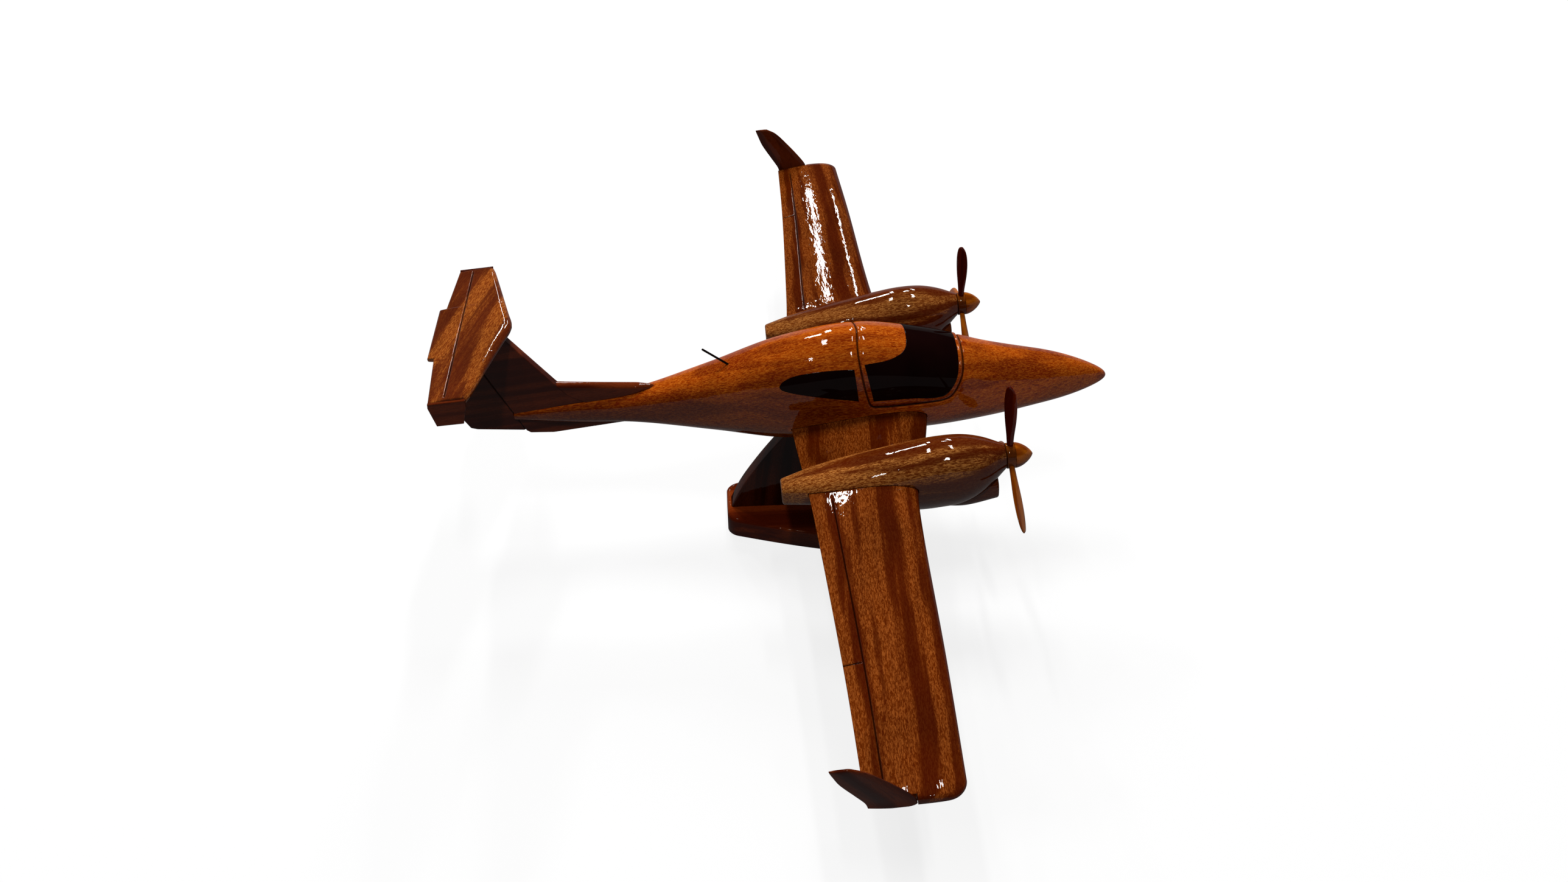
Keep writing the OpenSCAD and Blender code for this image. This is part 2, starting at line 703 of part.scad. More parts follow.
module windscreen() {
    color(gloss_black) in_flight()
        patch(windscreen_grid(window_stand_out, 0), windscreen_grid(-window_depth, 0));
}
module rear_window(side) {
    color(gloss_black) in_flight() on_side(-side)
        patch(rear_window_grid(window_stand_out, 0), rear_window_grid(-window_depth, 0));
}

// Whip antenna leaning back from the roof
module antenna_space(gap, sink) {
    s = (antenna_x - tail_x) / fuselage_length;
    translate([antenna_x, antenna_y, roof_at(s)])
        rotate([0, -antenna_lean, 0])
            translate([0, 0, -sink])
                cylinder(d = antenna_diameter + 2 * gap, h = antenna_length, $fn = round_fn);
}
module antenna() {
    color(gloss_black) in_flight() antenna_space(0, antenna_sink);
}

// Tail
module fin_board() {
    color(dark_wood) in_flight() difference() {
        board(fin_outline, fin_half_thickness);
        for (hand = [-1, 1])
            translate([0, hand * fin_half_thickness, 0])
                rudder_cut();
        tail_dowel_space(front_tail_dowel_x, running_gap);
        tail_dowel_space(rear_tail_dowel_x, running_gap);
    }
}
module rudder_cut() {
    low = rudder_groove[0];
    high = rudder_groove[1];
    run = high - low;
    translate([low[0], 0, low[1]])
        rotate([0, atan2(run[0], run[1]), 0])
            translate([-groove_width / 2, -groove_depth, -5])
                cube([groove_width, 2 * groove_depth, norm(run) - 2]);
}
module dorsal_strip() {
    color(dark_wood) in_flight() difference() {
        board(dorsal_outline, dorsal_half_thickness);
        board(fin_outline, fin_half_thickness + glue_gap);
    }
}
function tailplane_trailing(y) =
    (abs(y) < tab_share * tailplane_half) ? tab_trailing : elevator_trailing
    + elevator_sweep * (abs(y) / tailplane_half - tab_share) / (1 - tab_share);
function tailplane_point(y, t, hand) =
    let (s = abs(y) / tailplane_half, front = smooth(tailplane_lines, 1, s), rear = tailplane_trailing(y))
    let (half = aerofoil(t) * smooth(tailplane_lines, 2, s) + edge_half_thickness * t)
    [front + (rear - front) * t, y, tailplane_height + hand * half];
function tailplane_ring(y) = concat(
    [for (k = [0 : tailplane_steps]) tailplane_point(y, chord_share(k, tailplane_steps), -1)],
    [for (k = [tailplane_steps - 1 : -1 : 0]) tailplane_point(y, chord_share(k, tailplane_steps), 1)]
);
half_tail_shares = [0, 0.04, 0.1, 0.18, 0.28, tab_share - 0.002, tab_share + 0.002, 0.5, 0.65, 0.8, 0.92, 1];
tail_shares = concat([for (i = [11 : -1 : 1]) -half_tail_shares[i]], half_tail_shares);
function tailplane_hinge(y, offset) =
    let (p = tailplane_point(y, 1 - tailplane_hinge_share, 1))
    [elevator_trailing + elevator_chord + groove_width / 2 * offset[0], y, p[2] + offset[1]];
module elevator_groove() {
    offsets = [[-1, -groove_depth], [1, -groove_depth], [1, 1], [-1, 1]];
    loft([
        for (s = [-0.96, -0.5, 0, 0.5, 0.96])
            [for (o = offsets) tailplane_hinge(s * tailplane_half, o)]
    ]);
}
module tailplane() {
    color(red_wood) in_flight() difference() {
        carved() difference() {
            loft([for (s = tail_shares) tailplane_ring(s * tailplane_half)]);
            elevator_groove();
            board(fin_outline, fin_half_thickness + glue_gap);
            translate([0, 0, glue_gap])
                board(fin_outline, fin_half_thickness + glue_gap);
        }
        tail_dowel_space(front_tail_dowel_x, running_gap);
        tail_dowel_space(rear_tail_dowel_x, running_gap);
    }
}
module tail_dowel_space(x, gap) {
    translate([x, 0, tailplane_height + 0.6 - tail_dowel_length])
        cylinder(d = tail_dowel_diameter + 2 * gap, h = tail_dowel_length, $fn = round_fn);
}
module tail_dowel(x) {
    color(light_wood) in_flight() tail_dowel_space(x, 0);
}
module end_plate(side) {
    color(red_wood) in_flight()
        translate([0, side * (tailplane_span - plate_thickness) / 2, tailplane_height])
            board(plate_outline, plate_thickness / 2);
}

// Stand
function base_half(s) =
    let (rear = base_rear_width / 2, front = base_front_width / 2)
    let (r = max(1 - s / base_rear_round, 0), f = max((s - base_length + base_front_round) / base_front_round, 0))
    rear + (front - rear) * sin(90 * s / base_length)
    - base_rear_round * (1 - sqrt(1 - r ^ 2)) - base_front_round * (1 - sqrt(1 - f ^ 2));
function base_edge(k, inset, hand) =
    let (s = base_length * (1 - cos(180 * k / base_steps)) / 2)
    [s * (1 - 2 * inset / base_length) + inset - base_length / 2, hand * (base_half(s) - inset)];
function base_ring(z, inset) = concat(
    [for (k = [0 : base_steps]) concat(base_edge(k, inset, 1), z)],
    [for (k = [base_steps : -1 : 0]) concat(base_edge(k, inset, -1), z)]
);
module stand_base() {
    color(dark_wood) difference() {
        loft([
            base_ring(0, 0.5),
            base_ring(0.5, 0),
            base_ring(base_thickness - base_bevel, 0),
            base_ring(base_thickness, base_bevel)
        ]);
        translate([tenon_rear - glue_gap, -upright_thickness / 2 - glue_gap, base_thickness - tenon_depth - glue_gap])
            cube([tenon_front - tenon_rear + 2 * glue_gap, upright_thickness + 2 * glue_gap, base_thickness]);
        screw_space(front_screw_x, running_gap);
        screw_space(rear_screw_x, running_gap);
    }
}
function upright_point(i, col) =
    let (s = i / upright_steps, edge = smooth(upright_lines, col, s))
    let (top = (col == 1) ? belly_height(upright_top_rear) : belly_height(upright_top_front))
    [edge, base_thickness + s * (top - rest_gap - base_thickness)];
module stand_upright() {
    rear_edge = [for (i = [0 : upright_steps]) upright_point(i, 1)];
    front_edge = [for (i = [upright_steps : -1 : 0]) upright_point(i, 2)];
    top_edge = [
        for (i = [1 : 6])
            let (x = upright_top_rear + (upright_top_front - upright_top_rear) * i / 7)
            [x, belly_height(x) - rest_gap]
    ];
    tenon = [
        [tenon_front, base_thickness], [tenon_front, base_thickness - tenon_depth],
        [tenon_rear, base_thickness - tenon_depth], [tenon_rear, base_thickness]
    ];
    color(dark_wood) difference() {
        board(concat(rear_edge, top_edge, front_edge, tenon), upright_thickness / 2);
        screw_space(front_screw_x, running_gap);
        screw_space(rear_screw_x, running_gap);
        peg_space(front_peg_x, running_gap);
        peg_space(rear_peg_x, running_gap);
    }
}
module screw_space(x, gap) {
    translate([x, 0, 0]) {
        translate([0, 0, -1])
            cylinder(d = screw_head_diameter + 2 * gap, h = screw_recess + screw_head_height + 1, $fn = round_fn);
        cylinder(d = screw_diameter + 2 * gap, h = screw_recess + screw_length + gap, $fn = round_fn);
    }
}
module base_screw(x) {
    color(steel) translate([x, 0, screw_recess]) difference() {
        union() {
            cylinder(d = screw_head_diameter, h = screw_head_height, $fn = round_fn);
            cylinder(d = screw_diameter, h = screw_length, $fn = round_fn);
        }
        translate([-screw_head_diameter, -screw_slot / 2, -screw_slot])
            cube([2 * screw_head_diameter, screw_slot, 2 * screw_slot]);
    }
}
module peg_space(x, gap) {
    translate([x, 0, belly_height(x) - peg_in_upright])
        cylinder(d = peg_diameter + 2 * gap, h = peg_in_upright + peg_in_fuselage, $fn = round_fn);
}
module peg(x) {
    color(light_wood) peg_space(x, 0);
}

stand_base();
stand_upright();
base_screw(front_screw_x);  // front_base_screw
base_screw(rear_screw_x);  // rear_base_screw
peg(front_peg_x);  // front_peg
peg(rear_peg_x);  // rear_peg
fuselage();
windscreen();
rear_window(port);  // port_rear_window
rear_window(starboard);  // starboard_rear_window
wing_dowel(front_dowel_x, front_dowel_diameter);  // front_wing_dowel
wing_dowel(rear_dowel_x, rear_dowel_diameter);  // rear_wing_dowel
wing(port);  // port_wing
wing(starboard);  // starboard_wing
winglet(port);  // port_winglet
winglet(starboard);  // starboard_winglet
winglet_pin(port);  // port_winglet_pin
winglet_pin(starboard);  // starboard_winglet_pin
nacelle(port);  // port_nacelle
nacelle(starboard);  // starboard_nacelle
scoop(port);  // port_scoop
scoop(starboard);  // starboard_scoop
fin_board();
dorsal_strip();
tailplane();
end_plate(port);  // port_end_plate
end_plate(starboard);  // starboard_end_plate
tail_dowel(front_tail_dowel_x);  // front_tail_dowel
tail_dowel(rear_tail_dowel_x);  // rear_tail_dowel
antenna();
hub(port);  // port_hub
spinner(port);  // port_spinner
shaft(port);  // port_shaft
blade(port, 0);  // port_blade_1
blade(port, 1);  // port_blade_2
blade(port, 2);  // port_blade_3
hub(starboard);  // starboard_hub
spinner(starboard);  // starboard_spinner
shaft(starboard);  // starboard_shaft
blade(starboard, 0);  // starboard_blade_1
blade(starboard, 1);  // starboard_blade_2
blade(starboard, 2);  // starboard_blade_3
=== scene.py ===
"""Looks of a lacquered mahogany desk model of an aeroplane on its stand, built round its solids."""

from math import cos, radians, sin

import bpy
import numpy as np
from mathutils import Matrix


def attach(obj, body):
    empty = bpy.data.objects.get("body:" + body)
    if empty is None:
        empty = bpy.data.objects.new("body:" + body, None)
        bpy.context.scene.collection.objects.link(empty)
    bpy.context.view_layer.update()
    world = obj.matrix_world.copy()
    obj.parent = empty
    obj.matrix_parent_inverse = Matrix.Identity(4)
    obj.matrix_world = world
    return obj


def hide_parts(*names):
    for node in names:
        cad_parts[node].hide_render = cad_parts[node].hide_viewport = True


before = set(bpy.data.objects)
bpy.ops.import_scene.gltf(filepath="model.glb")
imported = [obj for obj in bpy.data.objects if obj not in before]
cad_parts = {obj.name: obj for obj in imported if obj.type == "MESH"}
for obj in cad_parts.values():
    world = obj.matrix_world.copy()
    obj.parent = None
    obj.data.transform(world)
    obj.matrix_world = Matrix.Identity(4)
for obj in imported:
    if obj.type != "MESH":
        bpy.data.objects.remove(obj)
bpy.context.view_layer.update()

# Lengths are in millimetres in the aircraft's own frame: X to the nose, Y to port, Z up.
MM = 0.001
NOSE_UP = radians(5)
DATUM_X, FLIGHT_HEIGHT = -28.5, 58.5
FLIGHT_PLACE = (DATUM_X, 0, FLIGHT_HEIGHT)
FLIGHT_TURN = np.array([[cos(NOSE_UP), 0, -sin(NOSE_UP)], [0, 1, 0], [sin(NOSE_UP), 0, cos(NOSE_UP)]])
PORT, STARBOARD = 1, -1
SIDES = {"port": PORT, "starboard": STARBOARD}
JOINT_GAP = 0.3
SHARP_ANGLE = 40
SEED_SHIFT = (0.37, 0.11, 0.23)

TAIL_X = -98
FUSELAGE_LENGTH, FUSELAGE_WIDTH, FUSELAGE_HEIGHT = 248, 41, 45.5
NOSE_START, NOSE_POWER = 0.88, 2.6
SIDE_POWER, BELLY_POWER = 0.92, 0.8
# Share of the length, half width, roof, belly, widest line
FUSELAGE_LINES = [
    [0, 0.14, 0.3, 0.22, 0.26], [0.1, 0.23, 0.34, 0.125, 0.24],
    [0.2, 0.35, 0.375, 0.08, 0.2], [0.33, 0.655, 0.54, -0.06, 0.19],
    [0.45, 0.93, 0.72, -0.2, 0.18], [0.58, 1, 0.79, -0.215, 0.18],
    [0.7, 0.92, 0.645, -0.235, 0.13], [0.8, 0.745, 0.445, -0.21, 0.07],
    [0.9, 0.535, 0.295, -0.145, 0.03], [1, 0.29, 0.145, -0.09, 0],
]
# Rows along the fuselage and columns round it, close together at the canopy seam: from, to, count
FUSELAGE_ROWS = [(0, 0.565, 60), (0.565, 0.595, 75), (0.595, 0.73, 60), (0.73, 0.756, 60), (0.756, NOSE_START, 16)]
FUSELAGE_COLUMNS = [(-100, -90, 6), (-90, -76, 36), (-76, 76, 130), (76, 90, 36), (90, 260, 48)]
# Place on the way round, then share of the length and angle of the inner and of the outer edge
WINDSCREEN_LINES = [
    [0, 0.586, 45, 0.596, 80], [0.3, 0.622, 41, 0.658, 79], [0.55, 0.644, 34, 0.711, 78],
    [0.66, 0.653, 28, 0.729, 67], [0.8, 0.658, 19, 0.74, 46], [1, 0.66, 0, 0.743, 0],
    [1.2, 0.658, -19, 0.74, -46],
]
REAR_WINDOW_LINES = [
    [0, 0.446, 55, 0.446, 57], [0.06, 0.452, 51, 0.45, 60], [0.25, 0.472, 47, 0.47, 65],
    [0.6, 0.518, 47, 0.52, 73], [1, 0.569, 49, 0.572, 79],
]
WINDOW_PROUD, WINDOW_SUNK, WINDOW_EDGE = 0.12, 0.8, 0.3
# Rough width and length of each pane, which place its rounded edge
WINDSCREEN_SIZE, REAR_WINDOW_SIZE = (18, 45), (10, 30)
# Seam round the canopy frame: place on the way, share of the length, angle from the roof
SEAM_LINES = [
    [0, 0.581, 0], [0.2, 0.578, 40], [0.36, 0.588, 80], [0.42, 0.6, 86], [0.6, 0.69, 84],
    [0.68, 0.722, 80], [0.76, 0.738, 66], [0.86, 0.748, 45], [1, 0.751, 0],
]
CANOPY_REAR, CANOPY_FRONT, CANOPY_SIDE = 0.56, 0.77, 95
SEAM_DEPTH, SEAM_SPREAD = 0.75, 0.4
SHOULDER_DEPTH, SHOULDER_SPREAD = 0.22, 1.3
RIM_HEIGHT, RIM_SPREAD, RIM_OUT = 0.38, 0.65, 1.0
GROOVE_DEPTH, GROOVE_SPREAD, GROOVE_NEAR = 0.45, 0.28, 0.8
# Painted shade low on the fuselage, darker towards the belly and the tail: level below which the shade attribute paints
# nothing; angle where the low shade starts, angle it grows over, strength, share of it along the length
PAINTED_SHADE_FROM = 0.2
LOW_SHADE_START, LOW_SHADE_OVER, LOW_SHADE = 15, 60, 0.33
LOW_SHADE_LINES = [[0.3, 1], [0.55, 0.65], [0.75, 0]]

HALF_WING, WING_ROOT = 206, 8
TIP_ROUND, TIP_REACH, TIP_EDGE = 6.5, 2.1, 1.3
WING_END = HALF_WING + TIP_REACH
WING_UPPER, WING_LOWER = 1.2, 0.8
EDGE_HALF = 0.4
HINGE_SHARE, FLAP_END = 0.2, 0.74
HINGE_FROM, HINGE_TO = 67.4, HALF_WING - 5
WING_GRAIN = radians(-3)
# Share of the half span, leading edge, trailing edge, height, thickness
WING_LINES = [
    [0, 74, 15, 1.5, 7.6], [0.1, 71.2, 16, 2.3, 7.1], [0.18, 68, 17.2, 2.9, 6.5],
    [0.28, 62.6, 19, 3.7, 5.9], [0.38, 59.8, 20.3, 4.4, 5.2], [0.75, 57.4, 23.5, 6, 4.4],
    [1, 55.4, 24.6, 5.8, 3.8],
]
# Share of the chord from the leading edge, how golden the wood is there
WING_RIBBONS = [
    [0, 0.1], [0.06, 0.22], [0.13, 0.62], [0.21, 0.55], [0.27, 0.12], [0.36, 0.1], [0.42, 0.5], [0.49, 0.74],
    [0.57, 0.8], [0.64, 0.5], [0.71, 0.8], [0.77, 0.42], [0.82, 0.12], [0.88, 0.3], [0.93, 1], [1, 1],
]
# Place up the winglet, leading edge, trailing edge, distance out, height, thickness
WINGLET_LINES = [
    [0, 40, 25.2, 1.15, 5.1, 2.2], [0.2, 39.4, 24.4, 1.4, 8, 2.1], [0.4, 36.4, 21.8, 2.1, 12.6, 2],
    [0.7, 30.2, 17.4, 3.4, 20.4, 1.7], [0.9, 25, 15.4, 4.4, 26, 1.5], [1, 20.6, 14.6, 4.8, 28.6, 1.3],
]
WINGLET_EDGE, WINGLET_GAP, WINGLET_CLOSE = 0.3, 0.05, 0.97

NACELLE_Y = 55
NACELLE_TAIL, NACELLE_FRONT, NACELLE_EDGE = 9, 96, 0.8
# Place, half width, top, bottom, widest line, roundness
NACELLE_LINES = [
    [9, 4.6, 5, -3.2, 0.8, 0.6], [20, 8, 7.6, -3.4, 2, 0.8], [30, 10.2, 9.6, -5, 3, 0.88],
    [40, 11.4, 11.6, -7.6, 3.3, 0.92], [50, 12, 13.6, -10.2, 3.5, 0.95], [60, 12.4, 15.4, -12, 3.6, 0.95],
    [70, 12.4, 16.9, -12.2, 3.8, 0.97], [80, 12.2, 16.6, -10.6, 4.2, 0.97], [88, 10.2, 14.8, -6, 5.4, 1],
    [96, 5, 11.9, 1.9, 6.9, 1],
]
# Angle from the top towards the wing tip, how golden the wood is there
NACELLE_RIBBONS = [
    [-180, 0.1], [-110, 0.45], [-60, 0.85], [-25, 0.15], [5, 0.12], [20, 0.7],
    [32, 0.3], [50, 0.85], [70, 0.6], [95, 0.12], [140, 0.08], [180, 0.1],
]
RIBBON_ROLL = {PORT: 90, STARBOARD: 0}
# Place, half width, middle height, half height
SCOOP_LINES = [[70, 7.6, -4.6, 6.4], [80, 7.8, -5.8, 6.2], [93, 7, -4.8, 5.2]]
SCOOP_REAR, SCOOP_FRONT, SCOOP_LIP = 70, 93, 0.6
SCOOP_POWER, MOUTH_POWER = 0.7, 0.35
MOUTH_WIDTH, MOUTH_HEIGHT, MOUTH_DEPTH, MOUTH_SILL = 6.4, 3.6, 5, 1.4

AXIS_HEIGHT = 6.9
HUB_REAR, HUB_LENGTH, HUB_RADIUS, HUB_EDGE = 96.4, 3.5, 5, 0.4
SPINNER_LENGTH, SPINNER_FLARE, SPINNER_POWER = 7.1, 1.7, 0.75
BLADE_ROOT, BLADE_TIP, BLADE_CLOSE = 4.2, 32, 0.96
FIRST_BLADE = {PORT: 8, STARBOARD: -2}
# Share of the length, half chord, half thickness, angle from the disc
BLADE_LINES = [
    [0, 1.2, 0.9, 55], [0.2, 1.7, 0.85, 48], [0.5, 2.8, 0.75, 41],
    [0.75, 3.2, 0.65, 35], [0.92, 2.5, 0.5, 32], [1, 1, 0.4, 30],
]

TAILPLANE_HEIGHT, TAILPLANE_HALF, TAILPLANE_SPAN = 54, 47.05, 97
PLATE_THICKNESS, PLATE_EDGE = 1.4, 0.35
FIN_TOP, FIN_HALF, FIN_EDGE = 53.3, 2, 0.5
FIN_FRONT = [[-44, 3.7], [-58, 9], [-74, 19.5], [-78.5, 25.5], [-92.8, 47.3], [-96.6, FIN_TOP]]
FIN_HINGE = [[-94.9, 4.2], [-112.8, FIN_TOP]]
FIN_REAR = [[-114.5, 7.1], [-117.1, 8.1], [-119.4, 13], [-121, FIN_TOP]]
KEEL = [[-44, 3.7], [-83.5, 1.5], [-93.1, 2.6], [-94.9, 4.2]]
DORSAL_TOP = [[-78.3, 25.2], [-60, 22.6], [-45, 20.6], [-40, 19.6], [-37.5, 18.2]]
DORSAL_FOOT = [[-73.8, 19.3], [-66.2, 14.5], [-42, 14.5], [-37.7, 18]]
DORSAL_HALF, DORSAL_ROUND, DORSAL_TIP, DORSAL_TAPER = 2.2, 1.7, -37.2, 9
# Share of the half span, leading edge, thickness
TAILPLANE_LINES = [[0, -90.4, 3.8], [0.08, -90.9, 3.8], [0.21, -92.6, 3.7], [0.92, -101.3, 3.1], [1, -102.6, 3]]
# Golden ribbons of the tailplane: line on the plan, half width, strength
TAIL_RIBBONS = [
    ([[-98, 52], [-103.1, 39.4], [-112, 8], [-118.9, -15.4], [-124, -30]], 3.2, 0.85),
    ([[-92, 28], [-96, 13], [-100.9, -18.8], [-100.7, -48.6]], 2.9, 0.85),
    ([[-114, -10], [-115, -48]], 3, 0.25),
]
TAIL_GROUND, TAIL_GRAIN, TAIL_NOSE = 0.16, radians(15), 0.13
TAB_TRAILING, TAB_SHARE, TAB_STEP = -121.5, 0.375, 0.008
ELEVATOR_TRAILING, ELEVATOR_SWEEP, ELEVATOR_HINGE, ELEVATOR_END = -118.9, 1.9, -110.9, 0.965
PLATE_FRONT = [[-105.6, -9.4], [-103.2, -2], [-102.9, 1]]
PLATE_REAR = [[-115.7, -9.4], [-117.2, -1], [-116.9, 0.8]]
ANTENNA_X, ANTENNA_Y, ANTENNA_RADIUS = -7.5, -2.2, 0.45
ANTENNA_LENGTH, ANTENNA_SINK, ANTENNA_LEAN = 15, 2.2, radians(48)

BASE_LENGTH, BASE_THICKNESS = 80, 9
BASE_REAR_HALF, BASE_FRONT_HALF = 12, 29
BASE_REAR_ROUND, BASE_FRONT_ROUND, BASE_BEVEL, BASE_FOOT = 4, 12, 1.4, 0.5
UPRIGHT_HALF, UPRIGHT_EDGE, UPRIGHT_SEAT = 3.75, 0.7, 1
UPRIGHT_TOP = (-12.6, 22.5)
REST_GAP = 0.3
# Share of the height, rear edge, front edge
UPRIGHT_LINES = [[0, -38.6, 33], [0.27, -33.7, 29], [0.54, -26.9, 26], [0.78, -19.9, 24], [1, -12.6, 22.5]]
PEG_PLACES, PEG_HOLE_RADIUS, PEG_HOLE_DEPTH = (16, -7), 2.1, 7.1
SCREW_PLACES, SCREW_HOLE_RADIUS, SCREW_HOLE_DEPTH = (10, -16), 3.05, 2.2


# Curves, grids and skins
def joined(*parts, axis=0):
    """Arrays one after another."""
    return np.concatenate(parts, axis)


def beside(*parts):
    """Arrays side by side on a new last axis, such as coordinates made into points."""
    return np.stack(parts, -1)


def held(value):
    """A value kept between 0 and 1."""
    return np.clip(value, 0, 1)


def curves(rows, place):
    """Each column of a table after its first, at a place, as a cubic through the rows; at a row its slope is that of
    the line between the two rows beside it."""
    x, *columns = np.asarray(rows, float).T
    order = np.arange(len(x))
    before, after = np.maximum(order - 1, 0), np.minimum(order + 1, len(x) - 1)
    i = np.clip(np.searchsorted(x, place, side="right") - 1, 0, len(x) - 2)
    h = x[i + 1] - x[i]
    u = held((place - x[i]) / h)
    found = []
    for v in columns:
        slope = (v[after] - v[before]) / (x[after] - x[before])
        start = (2 * u**3 - 3 * u**2 + 1) * v[i] + (u**3 - 2 * u**2 + u) * h * slope[i]
        found.append(start + (3 * u**2 - 2 * u**3) * v[i + 1] + (u**3 - u**2) * h * slope[i + 1])
    return found


def along_line(corners, share):
    """Point at a share of the way along straight runs between corners, by length."""
    corners = np.asarray(corners, float)
    steps = np.linalg.norm(np.diff(corners, axis=0), axis=1)
    reach = joined([0], np.cumsum(steps)) / steps.sum()
    return np.stack([np.interp(share, reach, corners[:, k]) for k in range(corners.shape[1])], -1)


def oval(a, power):
    """Sine and cosine of an angle, the size of each raised to a power and its sign kept."""
    return [np.sign(v) * np.abs(v) ** power for v in (np.sin(a), np.cos(a))]


def eased(count):
    """Shares from 0 to 1, close together at both ends, as half a turn of a wheel gives."""
    return (1 - np.cos(np.pi * np.arange(count) / (count - 1))) / 2


def quarter(count, end=90):
    """Angles from nothing to a quarter turn, or to the end given in degrees."""
    return np.radians(np.linspace(0, end, count))


def turns(count):
    """Angles once round, without the last, which is the first again."""
    return np.radians(np.linspace(0, 360, count, endpoint=False))


def runs(*parts):
    """Places along a line in runs of (from, to, count), and the end of the last run."""
    places = [np.linspace(a, b, n, endpoint=False) for a, b, n in parts]
    return joined(*places, [parts[-1][1]])


def over(a, b):
    """Two parameters over the whole of their grid."""
    return np.meshgrid(a, b, indexing="ij")


def flown(points):
    """Aircraft frame to the part's frame: turned nose up, then set over the stand."""
    return points @ FLIGHT_TURN.T + FLIGHT_PLACE


def landed(points):
    """The part's frame back to the aircraft's frame."""
    c, s = cos(NOSE_UP), sin(NOSE_UP)
    x, z = points[..., 0] - DATUM_X, points[..., 2] - FLIGHT_HEIGHT
    return beside(c * x + s * z, points[..., 1], c * z - s * x)


def bell(distance, spread):
    """Bell curve: 1 at no distance, falling to about a third at the spread."""
    return np.exp(-((distance / spread) ** 2))


def softened(distance, radius):
    """Rise of a rounded edge, 0 at the edge and 1 from the radius inward, along a quarter circle."""
    share = 1 - held(distance / radius)
    return np.sqrt(1 - share**2)


def line_distance(points, line):
    """Least distance from each point to a line of straight runs, all in one plane."""
    start, run = line[:-1], np.diff(line, axis=0)
    found = []
    for part in np.array_split(points, max(1, len(points) // 4000)):
        off = part[:, None] - start
        share = held((off * run).sum(-1) / np.maximum((run * run).sum(-1), 1e-12))
        found.append(((off - share[..., None] * run) ** 2).sum(-1).min(1))
    return np.sqrt(joined(*found))


def tube(rings):
    """Closed skin through rings of points, each end filled by a fan round its middle; the two middles come last."""
    n, m = rings.shape[:2]
    a = np.arange(n * m).reshape(n, m)
    b = np.roll(a, -1, 1)
    quads = beside(a[:-1], b[:-1], b[1:], a[1:]).reshape(-1, 4)
    start = beside(b[0], a[0], np.full(m, n * m))
    end = beside(a[-1], b[-1], np.full(m, n * m + 1))
    points = joined(rings.reshape(-1, 3), rings[:1].mean(1), rings[-1:].mean(1))
    return points, quads.tolist() + start.tolist() + end.tolist()


def flown_tube(rings, side=PORT):
    """Closed skin through rings made for the port side in the aircraft's frame, put on the side asked for."""
    return tube(flown(rings * (1, side, 1)))


def border(grid):
    """A grid's border, once round and back to its start."""
    return joined(grid[0], grid[1:, -1], grid[-1, -2::-1], grid[-2::-1, 0])


def slab(upper, lower):
    """Closed skin of two grids of the same size, joined all round their borders."""
    n, m = upper.shape[:2]
    order = np.arange(n * m).reshape(n, m)
    p, rim = order[:-1, :-1].ravel(), border(order)
    top = beside(p, p + m, p + m + 1, p + 1)
    low = beside(p, p + 1, p + m + 1, p + m) + n * m
    wall = beside(rim[:-1], rim[1:], rim[1:] + n * m, rim[:-1] + n * m)
    points = joined(upper.reshape(-1, 3), lower.reshape(-1, 3))
    return points, joined(top, low, wall).tolist()


def outward(points, faces):
    """Faces turned to point outward: all are reversed if the enclosed volume comes out negative."""
    corners = np.array([f[:3] for f in faces] + [[f[0], f[2], f[3]] for f in faces if len(f) == 4])
    a, b, c = points[corners[:, 0]], points[corners[:, 1]], points[corners[:, 2]]
    volume = np.einsum("ij,ij->i", a, np.cross(b, c)).sum()
    return [f[::-1] for f in faces] if volume < 0 else faces


def smooth_mesh(name, points, faces):
    """Mesh with smooth faces."""
    mesh = bpy.data.meshes.new(name)
    mesh.from_pydata(points.tolist(), [], faces)
    mesh.polygons.foreach_set("use_smooth", np.ones(len(mesh.polygons), bool))
    return mesh


def skin_mesh(name, points, faces):
    """Mesh in metres from points in millimetres in the part's frame."""
    return smooth_mesh(name, points * MM, outward(points, faces))


def placed(name, data):
    """Object of that name in the scene, at the origin."""
    thing = bpy.data.objects.new(name, data)
    bpy.context.scene.collection.objects.link(thing)
    return thing


def finished(mesh, finish):
    """Gives a mesh one material in place of any other."""
    mesh.materials.clear()
    mesh.materials.append(finish)


def cut_by(piece, cutters):
    """Takes the closed cutter skins out of a piece, as a carver cuts a seat, and keeps the cut mesh."""
    tools = [placed(f"cutter_{index}", skin_mesh("cutter", *skin)) for index, skin in enumerate(cutters)]
    for index, tool in enumerate(tools):
        cut = piece.modifiers.new(f"seat_{index}", "BOOLEAN")
        cut.operation, cut.solver, cut.object = "DIFFERENCE", "EXACT", tool
    bpy.context.view_layer.update()
    cut_mesh = bpy.data.meshes.new_from_object(piece.evaluated_get(bpy.context.evaluated_depsgraph_get()))
    piece.modifiers.clear()
    piece.data = cut_mesh
    for tool in tools:
        bpy.data.objects.remove(tool)


def axes_along(direction, up=(0, 0, 1)):
    """Along, across and into: unit directions with the fibres along the one given."""
    a = np.asarray(direction, float)
    a = a / np.linalg.norm(a)
    b = np.cross(up, a)
    b = b / np.linalg.norm(b)
    return np.array([a, b, np.cross(a, b)])


